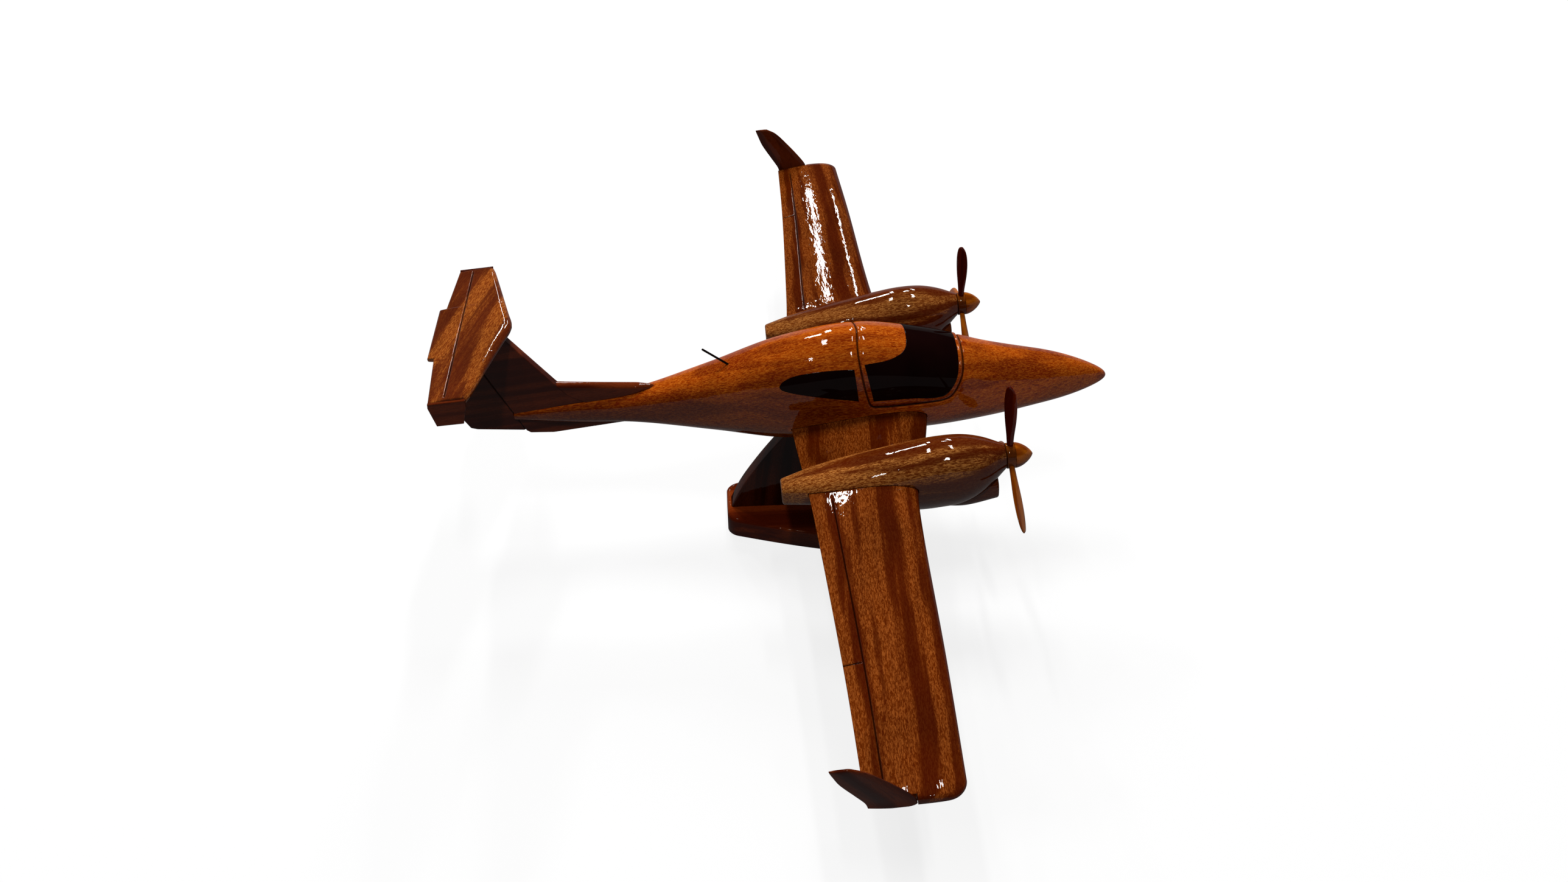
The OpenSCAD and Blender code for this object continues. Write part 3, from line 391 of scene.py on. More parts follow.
def dress(name, skin, finish, seed, body="aircraft", grain=FLIGHT_TURN.T, cutters=(), figure=None, groove_and_painted_shade=None):
    """Makes a piece from a skin, riding on a body and standing for the node of its name.

    grain is three directions: along the fibres, across them, and into the wood. The attribute wood holds each point's
    place along those, shifted for each seed so that no two boards match. figure gives the attribute ribbon, how golden
    the wood is, from places in the aircraft's frame. The scribed-line values, for the skin's points in order, are 1 in
    the middle of a scribed line. They are kept as an attribute that the wood's material turns into painted shade,
    darkening the groove where shade would fall in it. On the fuselage they also carry painted shade low on the sides.
    """
    piece = placed(name, skin_mesh(name, *skin))
    # Painted shade: how dark each point is to be painted, in the grooves and, on the fuselage, low on the sides
    if groove_and_painted_shade is not None:
        lines = np.zeros(len(piece.data.vertices), np.float32)
        lines[:groove_and_painted_shade.size] = groove_and_painted_shade.ravel()
        piece.data.attributes.new("groove_and_painted_shade", "FLOAT", "POINT").data.foreach_set("value", lines)
    if cutters:
        cut_by(piece, cutters)
    mesh = piece.data
    mesh.name = name
    mesh.set_sharp_from_angle(angle=radians(SHARP_ANGLE))
    place = np.zeros(len(mesh.vertices) * 3, np.float32)
    mesh.vertices.foreach_get("co", place)
    place = place.reshape(-1, 3)
    wood = place @ grain.T + np.array(SEED_SHIFT) * seed
    mesh.attributes.new("wood", "FLOAT_VECTOR", "POINT").data.foreach_set("vector", wood.astype(np.float32).ravel())
    if figure is not None:
        golden = figure(landed(place / MM)).astype(np.float32)
        mesh.attributes.new("ribbon", "FLOAT", "POINT").data.foreach_set("value", golden)
    finished(mesh, finish)
    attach(piece, body)
    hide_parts(name)


# Colours and finishes
def tone(red, green, blue):
    """A colour seen on a screen, 0 to 255, as the light it stands for."""
    seen = np.array([red, green, blue]) / 255
    light = np.where(seen <= 0.04045, seen / 12.92, ((seen + 0.055) / 1.055) ** 2.4)
    return (*light.tolist(), 1.0)


class Recipe:
    """A material's nodes, added one at a time and joined by name or number of socket."""

    def __init__(self, name):
        self.material = bpy.data.materials.new(name)
        self.material.use_nodes = True
        self.tree = self.material.node_tree
        self.shader = self.tree.nodes["Principled BSDF"]

    def give(self, made, inputs):
        """Joins or sets the sockets of a node, in order or by name or number."""
        for key, value in inputs.items() if isinstance(inputs, dict) else enumerate(inputs):
            if isinstance(value, bpy.types.NodeSocket):
                self.tree.links.new(value, made.inputs[key])
            else:
                made.inputs[key].default_value = value

    def add(self, kind, inputs=(), **settings):
        """A new node with its settings and sockets; gives its outputs."""
        made = self.tree.nodes.new("ShaderNode" + kind)
        for key, value in settings.items():
            setattr(made, key, value)
        self.give(made, inputs)
        return made.outputs

    def place(self):
        """Coordinates on the object itself."""
        return self.add("TexCoord")["Object"]

    def attribute(self, name, output="Fac"):
        """The piece's own attribute."""
        return self.add("Attribute", attribute_name=name)[output]

    def cloud(self, source, along, across, detail=2.0, rough=0.5, twist=0.0, output="Fac"):
        """Noise with so many lumps per metre along and across the fibres."""
        return self.add("TexNoise", {
            "Vector": self.add("VectorMath", (source, (along, across, across)), operation="MULTIPLY")[0],
            "Scale": 1.0, "Detail": detail, "Roughness": rough, "Distortion": twist,
        })[output]

    def between(self, value, low, high, to_low=0.0, to_high=1.0):
        """A value's share of the way from low to high, held at the ends, eased, and put between two other values."""
        return self.add("MapRange", (value, low, high, to_low, to_high), interpolation_type="SMOOTHSTEP")["Result"]

    def sums(self, way, *values):
        """Values taken together, such as multiplied."""
        return self.add("Math", values, operation=way)[0]

    def mixed(self, share, a, b, way="MIX"):
        """Two colours mixed by a share."""
        return self.add("Mix", {0: share, 6: a, 7: b}, data_type="RGBA", blend_type=way)[2]

    def lacquer(self, colour, rough, coat, height, ripple, distance):
        """A matt ground under a clear coat, both following the same faint waves."""
        wave = self.add("Bump", {"Height": height, "Strength": ripple, "Distance": distance})["Normal"]
        self.give(self.shader, {
            "Base Color": colour, "Roughness": rough, "Specular IOR Level": 0.0, "Coat Weight": coat,
            "Coat Roughness": 0.02, "Coat IOR": 1.5, "Normal": wave, "Coat Normal": wave,
        })
        return self.material


def mahogany(name, dark, body, gold, dash, pore, band=None, spread=0.12, coat=0.16, own_axes=True):
    """Lacquered mahogany: dark ribbons, golden ribbons packed with short pale dashes, and fine dark pores along the
    fibres, under a clear coat.

    band counts the ribbons per metre across the board; without it the attribute ribbon says how golden the wood is.
    dash and pore are the strengths of the two marks, and spread is the share of the dashes that dark ribbons have too.
    """
    dark, body, gold = tone(*dark), tone(*body), tone(*gold)
    r = Recipe(name)
    place = r.attribute("wood", "Vector") if own_axes else r.place()
    sway = r.cloud(place, 9, 28, 1.0, output="Color")
    bent = r.add("VectorMath", (sway, (0.0, 0.003, 0.003), place), operation="MULTIPLY_ADD")[0]
    ribbon = r.attribute("ribbon") if band is None else r.between(r.cloud(bent, 3.0, band, 1.5), 0.36, 0.64)
    golden = r.between(r.sums("MULTIPLY_ADD", r.cloud(bent, 14, 420), 1.4, ribbon), 0.7, 1.7)
    dashes = r.between(r.cloud(bent, 560, 2700, 3.0, 0.65, 0.9), 0.42, 0.62)
    pores = r.between(r.cloud(bent, 240, 1700, 2.0, 0.6), 0.30, 0.46, pore, 0.0)
    ground = r.mixed(golden, dark, body)
    pale = r.sums("MULTIPLY", dashes, r.between(golden, 0.1, 0.8, spread * dash, dash))
    lined = r.mixed(pores, r.mixed(pale, ground, gold), dark)
    shade = r.between(r.cloud(place, 40, 70), 0.25, 0.75, 0.84, 1.12)
    # Painted shade: the grooves' and low sides' shade attribute darkens the wood towards near-black brown
    painted_shade_share = r.between(r.attribute("groove_and_painted_shade"), PAINTED_SHADE_FROM, 0.8, 0.0, 0.85)
    colour = r.mixed(painted_shade_share, r.mixed(1.0, lined, shade, "MULTIPLY"), tone(22, 6, 2))
    return r.lacquer(colour, r.between(dashes, 0.0, 1.0, 0.34, 0.44), coat, r.cloud(bent, 160, 420), 0.4, 0.00015)


def black_lacquer():
    """Gloss black, with a dark red tint mixed in by noise as a painted reflection of the wood round it; the same noise
    gives a faint unevenness to its roughness and waves.
    """
    r = Recipe("window_black")
    painted_reflection_and_unevenness = r.cloud(r.place(), 70, 70)
    # Painted reflection: the dark red end of the mix stands for wood reflected in the glass
    colour = r.mixed(painted_reflection_and_unevenness, tone(6, 1, 1), tone(24, 6, 5))
    return r.lacquer(colour, r.between(painted_reflection_and_unevenness, 0.2, 0.8, 0.3, 0.4), 0.06, painted_reflection_and_unevenness, 0.15, 0.0002)


def turned_steel():
    """Plain steel with fine turning marks."""
    r = Recipe("turned_steel")
    marks = r.cloud(r.place(), 300, 4000, 2.0, 0.6)
    r.give(r.shader, {
        "Base Color": r.mixed(marks, tone(150, 150, 152), tone(196, 196, 198)),
        "Metallic": 1.0, "Roughness": r.between(marks, 0.2, 0.8, 0.25, 0.4),
    })
    return r.material


FUSELAGE_WOOD = mahogany("fuselage_mahogany", (114, 29, 0), (153, 56, 0), (200, 106, 25), 0.85, 0.9, 130, 0.6, 0.2)
WING_WOOD = mahogany("wing_mahogany", (64, 14, 0), (90, 32, 0), (142, 74, 26), 0.88, 0.4)
NACELLE_WOOD = mahogany("nacelle_mahogany", (76, 19, 0), (106, 45, 4), (188, 122, 58), 0.85, 0.55, coat=0.19)
TAIL_WOOD = mahogany("tailplane_mahogany", (78, 26, 9), (112, 46, 10), (170, 96, 36), 0.9, 0.3)
# Painted shade: a darker copy of the mahogany for the upright boards (winglets, fin, dorsal strip, end plates), which
# face sideways and fall in shade
SHADED_UPRIGHT_WOOD = mahogany("shaded_upright_mahogany", (60, 16, 5), (96, 35, 11), (120, 56, 22), 0.3, 0.5, 120, coat=0.09)
PROPELLER_WOOD = mahogany("propeller_mahogany", (116, 48, 0), (164, 84, 4), (188, 108, 30), 0.3, 0.5, 260)
# Painted shade: a darker, redder copy of the propeller wood for the blade that stands upright, whose face is in shade
SHADED_BLADE_WOOD = mahogany("shaded_blade_mahogany", (84, 12, 0), (116, 29, 0), (140, 54, 10), 0.3, 0.5, 260)
HUB_WOOD = mahogany("hub_mahogany", (80, 32, 2), (120, 56, 7), (150, 84, 28), 0.3, 0.5, 260)
# Painted shade: the upright is the base's wood made darker, for the shade it stands in under the wing
SHADED_STAND_WOOD = mahogany("shaded_stand_mahogany", (34, 6, 1), (62, 17, 3), (90, 36, 10), 0.35, 0.5, 110, coat=0.09)
BASE_WOOD = mahogany("base_mahogany", (72, 18, 3), (112, 40, 9), (136, 62, 18), 0.35, 0.5, 110, coat=0.07)
DOWEL_WOOD = mahogany("dowel_hardwood", (150, 112, 70), (178, 140, 94), (196, 160, 112), 0.2, 0.4, 300, own_axes=False)
BLACK = black_lacquer()
STEEL = turned_steel()


# Fuselage
def fuselage_skin(s, a, grow):
    """Point at share s of the length and angle a from the roof, moved out by grow.

    Each section is a rounded oval: the sine and cosine of the angle are raised to a power, and the halves above
    and below the widest line have their own heights. The nose closes along a curve of power NOSE_POWER.
    """
    past = held((s - NOSE_START) / (1 - NOSE_START))
    lines = np.array(curves(FUSELAGE_LINES, s)) * np.sqrt(1 - past**NOSE_POWER)
    half = lines[0] * FUSELAGE_WIDTH / 2
    roof, belly, middle = lines[1:] * FUSELAGE_HEIGHT
    across, up = oval(np.radians(a), SIDE_POWER)
    down = oval(np.radians(a), BELLY_POWER)[1]
    z = middle + np.where(up >= 0, (roof + grow - middle) * up, (middle - belly + grow) * down)
    return beside(TAIL_X + FUSELAGE_LENGTH * s + 0 * a, (half + grow) * across, z)


def belly_height(x):
    """Height of the belly over the table at a place along the stand."""
    s = ((x - DATUM_X) / cos(NOSE_UP) - TAIL_X) / FUSELAGE_LENGTH
    low = curves(FUSELAGE_LINES, s)[2] * FUSELAGE_HEIGHT
    along = (x - DATUM_X + low * sin(NOSE_UP)) / cos(NOSE_UP)
    return FLIGHT_HEIGHT + along * sin(NOSE_UP) + low * cos(NOSE_UP)


def unrolled(s, a):
    """Fuselage places laid flat: length along, and angle times the half width."""
    return beside(s * FUSELAGE_LENGTH, np.radians(a) * FUSELAGE_WIDTH / 2)


def canopy_lines():
    """Two lines laid flat, each from the roof round one side to the roof again: the canopy's seam, and the middle of
    the raised rim, which is the windscreen's outer edge moved out square to itself."""
    way = np.linspace(0, 1, 240)
    s_in, a_in, s_out, a_out = curves(WINDSCREEN_LINES, way)
    edge = unrolled(s_out, a_out)
    along = np.gradient(edge, axis=0)
    square = beside(along[:, 1], -along[:, 0]) / np.linalg.norm(along, axis=1)[:, None]
    inward = unrolled(s_in, a_in) - edge
    rim = edge - RIM_OUT * square * np.sign((square * inward).sum(-1))[:, None]
    return unrolled(*curves(SEAM_LINES, way)), rim


def upright_drill(x, radius, bottom, top):
    """Round cutter that stands upright at a place along the stand."""
    z, a = over((bottom, top), turns(48))
    return tube(beside(x + radius * np.cos(a), radius * np.sin(a), z))


def make_fuselage():
    """Fuselage scribed along the canopy seam, its shoulders rolled over towards the line by a wider bell curve, with a
    raised rim round the windscreen. Painted shade darkens the seam's groove. Painted shade low on the sides grows with
    the angle from the roof as an eased step, and fades from the tail to the windscreen along straight runs."""
    nose = NOSE_START + (1 - NOSE_START) * np.sin(quarter(34, 89))
    place, turn = over(joined(runs(*FUSELAGE_ROWS)[:-1], nose), runs(*FUSELAGE_COLUMNS)[:-1])
    away = np.abs(turn)
    near = (place > CANOPY_REAR) & (place < CANOPY_FRONT) & (away < CANOPY_SIDE)
    flat = unrolled(place[near], away[near])
    from_seam, from_rim = (line_distance(flat, line) for line in canopy_lines())
    seam = bell(from_seam, SEAM_SPREAD)
    grow = np.zeros(place.shape)
    grow[near] = (
        RIM_HEIGHT * bell(from_rim, RIM_SPREAD) - SEAM_DEPTH * seam - SHOULDER_DEPTH * bell(from_seam, SHOULDER_SPREAD))
    # Painted shade low on the sides and towards the tail, where the fuselage falls in shade; the seam's groove is
    # painted darker too
    low = held((np.minimum(away, 360 - away) - LOW_SHADE_START) / LOW_SHADE_OVER)
    groove_and_painted_shade = PAINTED_SHADE_FROM + LOW_SHADE * low**2 * (3 - 2 * low) * np.interp(place, *np.transpose(LOW_SHADE_LINES))
    groove_and_painted_shade[near] = np.maximum(groove_and_painted_shade[near], seam)
    cutters = [
        upright_drill(x, PEG_HOLE_RADIUS, belly_height(x) - 4, belly_height(x) + PEG_HOLE_DEPTH) for x in PEG_PLACES
    ] + [wing_cutter(side) for side in SIDES.values()]
    dress("fuselage", flown_tube(fuselage_skin(place, turn, grow)), FUSELAGE_WOOD, 1,
          cutters=cutters, groove_and_painted_shade=groove_and_painted_shade)


def make_pane(name, lines, t, v, hand, edge, seed):
    """Slab of black glass on the fuselage, straight across between two edges each given as share of the length and
    angle: its face stands proud but for a rounded edge, and its back is sunk."""
    s_in, a_in, s_out, a_out = curves(lines, t)
    a_in = np.maximum(a_in, 0)
    s, a = s_in + (s_out - s_in) * v, hand * (a_in + (a_out - a_in) * v)
    face = fuselage_skin(s, a, WINDOW_PROUD * softened(edge, WINDOW_EDGE))
    back = fuselage_skin(s, a, -WINDOW_SUNK + 0 * s)
    dress(name, slab(flown(face), flown(back)), BLACK, seed)


def make_windows():
    """The windscreen, one pane from side to side, and a pane on each side behind it."""
    way, v = over(
        joined([0, 0.002, 0.005, 0.01], np.linspace(0.02, 1.98, 180), [1.99, 1.995, 1.998, 2]),
        joined([0, 0.004, 0.01, 0.02], np.linspace(0.04, 0.96, 50), [0.98, 0.99, 0.996, 1]))
    t, hand = np.where(way <= 1, way, 2 - way), np.where(way <= 1, -1, 1)
    width, length = WINDSCREEN_SIZE
    make_pane("windscreen", WINDSCREEN_LINES, t, v, hand, np.minimum(np.minimum(v, 1 - v) * width, t * length), 2)
    t, v = over(
        joined([0, 0.004, 0.01, 0.02], np.linspace(0.03, 0.97, 60) ** 1.3, [0.98, 0.99, 0.996, 1]),
        joined([0, 0.01, 0.02], np.linspace(0.04, 0.96, 30), [0.98, 0.99, 1]))
    width, length = REAR_WINDOW_SIZE
    edge = np.minimum(np.minimum(v, 1 - v) * width, np.minimum(t, 1 - t) * length)
    for word, side in SIDES.items():
        make_pane(f"{word}_rear_window", REAR_WINDOW_LINES, t, v, side, edge, 3)


# Wings
def aerofoil(t):
    """Half thickness of an aerofoil of thickness 1 at share t of its chord, as a root and a row of powers of t."""
    return 5 * (0.2969 * np.sqrt(t) - 0.126 * t - 0.3516 * t**2 + 0.2843 * t**3 - 0.1036 * t**4)


def wing_at(y):
    """Leading edge, trailing edge, height and thickness at a place along the span, and how far that is into the tip,
    whose leading corner is a quarter circle."""
    tip = held((y - WING_END + TIP_ROUND) / TIP_ROUND)
    front, *rest = curves(WING_LINES, y / HALF_WING)
    return front - TIP_ROUND * (1 - np.sqrt(1 - tip**2)), *rest, tip


def wing_skin(y, t, share, grow=0.0, sink=0.0):
    """Point on the wing at span y and chord share t, above for a positive share and below for a negative one."""
    front, rear, height, thick, tip = wing_at(y)
    front, rear = front + grow, rear - grow
    half = aerofoil(t) * thick * (1 - 0.35 * tip**3) + EDGE_HALF * t
    end = held((y - WING_END + TIP_EDGE) / TIP_EDGE)
    half = half * (0.3 + 0.7 * np.sqrt(1 - end**2))
    z = height + share * half + np.sign(share) * grow + sink
    return beside(front + (rear - front) * t, y + 0 * t, z)


def wing_cutter(side):
    """Coarse wing grown by the joint's gap, to cut its seat in the fuselage and the nacelle."""
    y = runs((WING_ROOT - JOINT_GAP, 100, 30))
    t = eased(25)
    lower = wing_skin(*over(y, t[::-1]), -WING_LOWER, JOINT_GAP)
    upper = wing_skin(*over(y, t[1:]), WING_UPPER, JOINT_GAP)
    return flown_tube(joined(lower, upper, axis=1), side)


def winglet_notch(side):
    """Square cutter for the step at the end of the wing in which the winglet stands."""
    front, reach = WINGLET_LINES[0][1] + 0.1, 60
    x, corner = over((front - 2 * reach, front), np.arange(4))
    return flown_tube(beside(x, HALF_WING + reach * (corner > 1), reach * np.where(corner % 3, 1, -1)), side)


def wing_figure(points, seed):
    """How golden the wing's wood is: ribbons across the chord that sway along the span as two sines."""
    y = np.abs(points[:, 1])
    front, rear, *_ = wing_at(np.clip(y, WING_ROOT, WING_END))
    sway = 0.018 * np.sin(y / 15 + seed) + 0.012 * np.sin(y / 6.3 + 2 * seed)
    return curves(WING_RIBBONS, held((front - points[:, 0]) / (front - rear) + sway))[0]


def hinged(ahead, hinge, near, behind):
    """Shares of the chord for each section: some ahead of the hinge, many evenly across its line, some behind."""
    across = hinge + np.linspace(-1, 1, 17)[None, 1:] * near
    return joined(ahead[None] * (hinge - near), across, hinge + near + (1 - hinge - near) * behind[None], axis=1)


def make_wing(side, name, seed):
    """Wing as chord loops along the span, scribed along the hinge line and across the flap's end."""
    split = FLAP_END * HALF_WING
    y = runs((WING_ROOT, split - 1, 70), (split - 1, split + 1, 20), (split + 1, WING_END - TIP_ROUND, 22),
             (WING_END - TIP_ROUND, WING_END - TIP_EDGE, 14), (WING_END - TIP_EDGE, WING_END, 10))
    front, rear, *_ = wing_at(y)
    chord = (front - rear)[:, None]
    hinge = 1 - HINGE_SHARE
    t = hinged(eased(44), hinge, GROOVE_NEAR / chord, np.linspace(0, 1, 14)[1:])
    yy = np.repeat(y[:, None], t.shape[1], 1)
    on_hinge = held(np.minimum(yy - HINGE_FROM, HINGE_TO - yy))
    line = bell((t - hinge) * chord, GROOVE_SPREAD) * on_hinge
    cross = bell(yy - split, GROOVE_SPREAD) * held((t - hinge) * chord)
    # The hinge and flap lines: cut in, and painted with shade along the groove
    groove_and_painted_shade = np.maximum(line, cross)
    upper = wing_skin(yy, t, WING_UPPER, sink=-GROOVE_DEPTH * groove_and_painted_shade)
    lower = wing_skin(*over(y, eased(40)[::-1]), -WING_LOWER)[:, :-1]
    groove_and_painted_shade = joined(np.zeros(lower.shape[:2]), groove_and_painted_shade, axis=1)
    dress(name, flown_tube(joined(lower, upper, axis=1), side), WING_WOOD, seed,
          grain=axes_along((sin(WING_GRAIN), side * cos(WING_GRAIN), 0)), cutters=[winglet_notch(side)],
          figure=lambda points: wing_figure(points, seed), groove_and_painted_shade=groove_and_painted_shade)


def make_winglet(side, name, seed):
    """Winglet as chord loops up its height, with the leading edge swept along a curve and the tip closed."""
    u = joined(np.linspace(0, WINGLET_CLOSE, 60), [0.98, 0.988, 0.994, 0.998, 1.0])
    hand = joined(np.ones(36), -np.ones(34))
    uu, tt = over(u, joined(eased(36)[::-1], eased(36)[1:-1]))
    front, rear, out, z, thick = curves(WINGLET_LINES, uu)
    half = np.minimum(aerofoil(tt) * thick + WINGLET_EDGE * tt, 0.5 * thick)
    half = half * (0.25 + 0.75 * np.sqrt(1 - held((uu - WINGLET_CLOSE) / (1 - WINGLET_CLOSE)) ** 2))
    rings = beside(front + (rear - front) * tt, HALF_WING + WINGLET_GAP + out + hand * half, z)
    dress(name, flown_tube(rings, side), SHADED_UPRIGHT_WOOD, seed,
          grain=axes_along((-0.55, side * 0.1, 0.83), (0, side, 0)))


# Engines
def nacelle_figure(side, seed):
    """How golden the nacelle's wood is: ribbons round the section that sway along the length, more golden at the tail
    and less at the front; each side's are rolled round by their own angle."""
    def golden(points):
        x = points[:, 0]
        out, up = np.abs(points[:, 1]) - NACELLE_Y, points[:, 2] - curves(NACELLE_LINES, x)[3]
        turn = (np.degrees(np.arctan2(out, up)) + 5 * np.sin(x / 9 + seed) + RIBBON_ROLL[side] + 180) % 360 - 180
        along = 0.5 * held((42 - x) / 30) - 0.4 * held((x - 72) / 20)
        return held(curves(NACELLE_RIBBONS, turn)[0] + along)
    return golden


def make_nacelle(side, name, seed):
    """Nacelle from its blunt tail, whose edge is a quarter circle, to the flat face behind the hub. Each section is an
    oval whose sine and cosine are raised to a power, boxier towards the tail."""
    bend = quarter(8)[:-1]
    start = NACELLE_TAIL + NACELLE_EDGE
    x = joined(start - NACELLE_EDGE * np.cos(bend), np.linspace(start, NACELLE_FRONT, 150))
    less = joined(NACELLE_EDGE * (1 - np.sin(bend)), np.zeros(150))[:, None]
    xx, a = over(x, turns(144))
    width, top, bottom, middle, power = curves(NACELLE_LINES, xx)
    across, up = oval(a, power)
    high = np.where(up >= 0, top - middle, middle - bottom) - less
    rings = beside(xx, NACELLE_Y + (width - less) * across, middle + high * up)
    dress(name, flown_tube(rings, side), NACELLE_WOOD, seed, cutters=[wing_cutter(side)],
          figure=nacelle_figure(side, seed))


def make_scoop(side, name, seed):
    """Chin intake: a boxy oval along X, turned in at its front lip to a square-cornered mouth."""
    turn = turns(96)
    rear_of_lip = SCOOP_FRONT - SCOOP_LIP
    xx, a = over(np.linspace(SCOOP_REAR, rear_of_lip, 60), turn)
    width, middle, half = curves(SCOOP_LINES, xx)
    y, z = oval(a, SCOOP_POWER)
    outer = beside(xx, NACELLE_Y + width * y, middle + half * z)
    width, middle, half = curves(SCOOP_LINES, SCOOP_FRONT)
    bend = np.linspace(0.3, 1.57, 5)[:, None]
    less = SCOOP_LIP * (1 - np.cos(bend))
    lip = beside(
        rear_of_lip + SCOOP_LIP * np.sin(bend) + 0 * y[:1], NACELLE_Y + (width - less) * y[:1],
        middle + (half - less) * z[:1])
    across, up = oval(turn, MOUTH_POWER)
    mouth_y = NACELLE_Y + MOUTH_WIDTH / 2 * across
    mouth_z = middle - half + MOUTH_SILL + MOUTH_HEIGHT / 2 * (1 + up)
    mouth = [beside(np.full(96, SCOOP_FRONT - d), mouth_y, mouth_z) for d in (0, 0.2, MOUTH_DEPTH)]
    dress(name, flown_tube(joined(outer, lip, mouth), side), NACELLE_WOOD, seed,
          figure=nacelle_figure(side, seed))


# Propellers
def turned(x, radius, side):
    """Piece turned about the propeller shaft, from places along X and the radius at each."""
    xx, a = over(x, turns(96))
    r = radius[:, None]
    return flown_tube(beside(xx, side * NACELLE_Y + r * np.sin(a), AXIS_HEIGHT + r * np.cos(a)))


def blade_rings(side, lean):
    """Blade leaning round the shaft: a flat oval carried out along its length, its chord, thickness and angle following
    the blade's lines, closed at the tip along a quarter circle."""
    uu, bb = over(np.sin(quarter(44)), turns(40))
    chord, thick, angle = curves(BLADE_LINES, uu)
    closing = np.sqrt(np.clip(1 - held((uu - BLADE_CLOSE) / 0.0405) ** 2, 0.02, 1))
    p, q = chord * closing * np.cos(bb), thick * closing * np.sin(bb)
    angle = np.radians(angle)
    x = -p * np.sin(angle) + q * np.cos(angle)
    y = p * np.cos(angle) + q * np.sin(angle)
    r = BLADE_ROOT + (BLADE_TIP - BLADE_ROOT) * uu
    c, s = cos(lean), sin(lean)
    return beside(
        HUB_REAR + HUB_LENGTH / 2 + x, side * NACELLE_Y + y * c - r * s, AXIS_HEIGHT + y * s + r * c)


def make_propeller(side, word, seed):
    """Hub ring with rounded edges, spinner and blades. The spinner's radius falls as a power of the way to its tip."""
    body = f"{word}_propeller"
    front = HUB_REAR + HUB_LENGTH
    inset = HUB_EDGE * (1 - np.sin(quarter(6)))
    radius = HUB_RADIUS - HUB_EDGE * (1 - np.cos(quarter(6)))
    hub = turned(joined(HUB_REAR + inset[::-1], front - inset), joined(radius[::-1], radius), side)
    dress(f"{word}_hub", hub, HUB_WOOD, seed, body)
    u = np.sin(quarter(40, 89.3))
    cone = turned(front + SPINNER_LENGTH * u, HUB_RADIUS * (1 - u**SPINNER_FLARE) ** SPINNER_POWER, side)
    dress(f"{word}_spinner", cone, PROPELLER_WOOD, seed + 1, body)
    # The upright first blade takes the painted-shade copy of the propeller wood
    for index, finish in enumerate((SHADED_BLADE_WOOD, PROPELLER_WOOD, PROPELLER_WOOD)):
        lean = radians(FIRST_BLADE[side] + 120 * index)
        way = flown(np.array([0, -sin(lean), cos(lean)])) - flown(np.zeros(3))
        dress(f"{word}_blade_{index + 1}", flown_tube(blade_rings(side, lean)), finish,
              seed + 2 + index, body, axes_along(way, (1, 0, 0)))


# Tail
def two_faced(grid, half):
    """Closed skin of a flat grid of X and Z places and the half thickness at each."""
    return slab(*(beside(grid[..., 0], hand * half, grid[..., 1]) for hand in (1, -1)))


def board(grid, half, radius, line=None):
    """Flat board from a grid of X and Z places: its faces round off within radius of the border, along a quarter
    circle, and a line scribed on both faces is cut in. Gives the points, the faces and how deep in the line each is."""
    flat = grid.reshape(-1, 2)
    thick = half - radius + radius * softened(line_distance(flat, border(grid)), radius)
    # The line's groove profile also sets how much painted shade darkens it
    groove_and_painted_shade = np.zeros(len(flat)) if line is None else bell(line_distance(flat, np.array(line)), GROOVE_SPREAD)
    return *two_faced(grid, (thick - GROOVE_DEPTH * groove_and_painted_shade).reshape(grid.shape[:2])), np.tile(groove_and_painted_shade, 2)


def make_fin():
    """Fin, rudder and keel in one board: a grid from the front edge to the hinge line, then on to the rear edge."""
    v = eased(110)
    front, hinge, rear = (along_line(line, v) for line in (FIN_FRONT, FIN_HINGE, FIN_REAR))
    keel_way = eased(90)
    keel = along_line(KEEL, keel_way)
    straight = KEEL[0] + (np.array(KEEL[-1]) - KEEL[0]) * keel_way[:, None]
    ahead = front[:, None] + (hinge - front)[:, None] * keel_way[None, :, None]
    ahead = ahead + (keel - straight)[None] * ((1 - v) ** 3)[:, None, None]
    behind_way = joined(np.linspace(0, 0.08, 12)[1:], 0.08 + 0.92 * eased(50)[1:])
    behind = hinge[:, None] + (rear - hinge)[:, None] * behind_way[None, :, None]
    points, faces, groove_and_painted_shade = board(joined(ahead, behind, axis=1), FIN_HALF, FIN_EDGE, FIN_HINGE)
    dress("fin_board", (flown(points), faces), SHADED_UPRIGHT_WOOD, 31,
          grain=axes_along((1, 0, 0.12), (0, 1, 0)), groove_and_painted_shade=groove_and_painted_shade)


def make_dorsal():
    """Strip ahead of the fin: a grid from its foot, set in the tail, up to its sloping top, which is rounded over as a
    half circle; it fines down to its front end."""
    along, up = over(1 - (1 - np.linspace(0, 1, 120)) ** 1.5, np.sin(quarter(40)))
    top, foot = along_line(DORSAL_TOP, along[:, 0]), along_line(DORSAL_FOOT, along[:, 0])
    grid = foot[:, None] + (top - foot)[:, None] * up[..., None]
    below = np.linalg.norm(top - foot, axis=1)[:, None] * (1 - up)
    half = DORSAL_HALF * np.sqrt(np.clip((DORSAL_TIP - grid[..., 0]) / DORSAL_TAPER, 0.02, 1))
    points, faces = two_faced(grid, half * (0.04 + 0.96 * softened(below, DORSAL_ROUND)))
    dress("dorsal_strip", (flown(points), faces), SHADED_UPRIGHT_WOOD, 32)


def tail_figure(points):
    """How golden the tailplane's wood is: broad ribbons, each a bell curve of the distance from a line on the plan."""
    ribbons = [
        strength * bell(line_distance(points[:, :2], np.array(line, float)), half)
        for line, half, strength in TAIL_RIBBONS]
    return held(TAIL_GROUND + sum(ribbons))


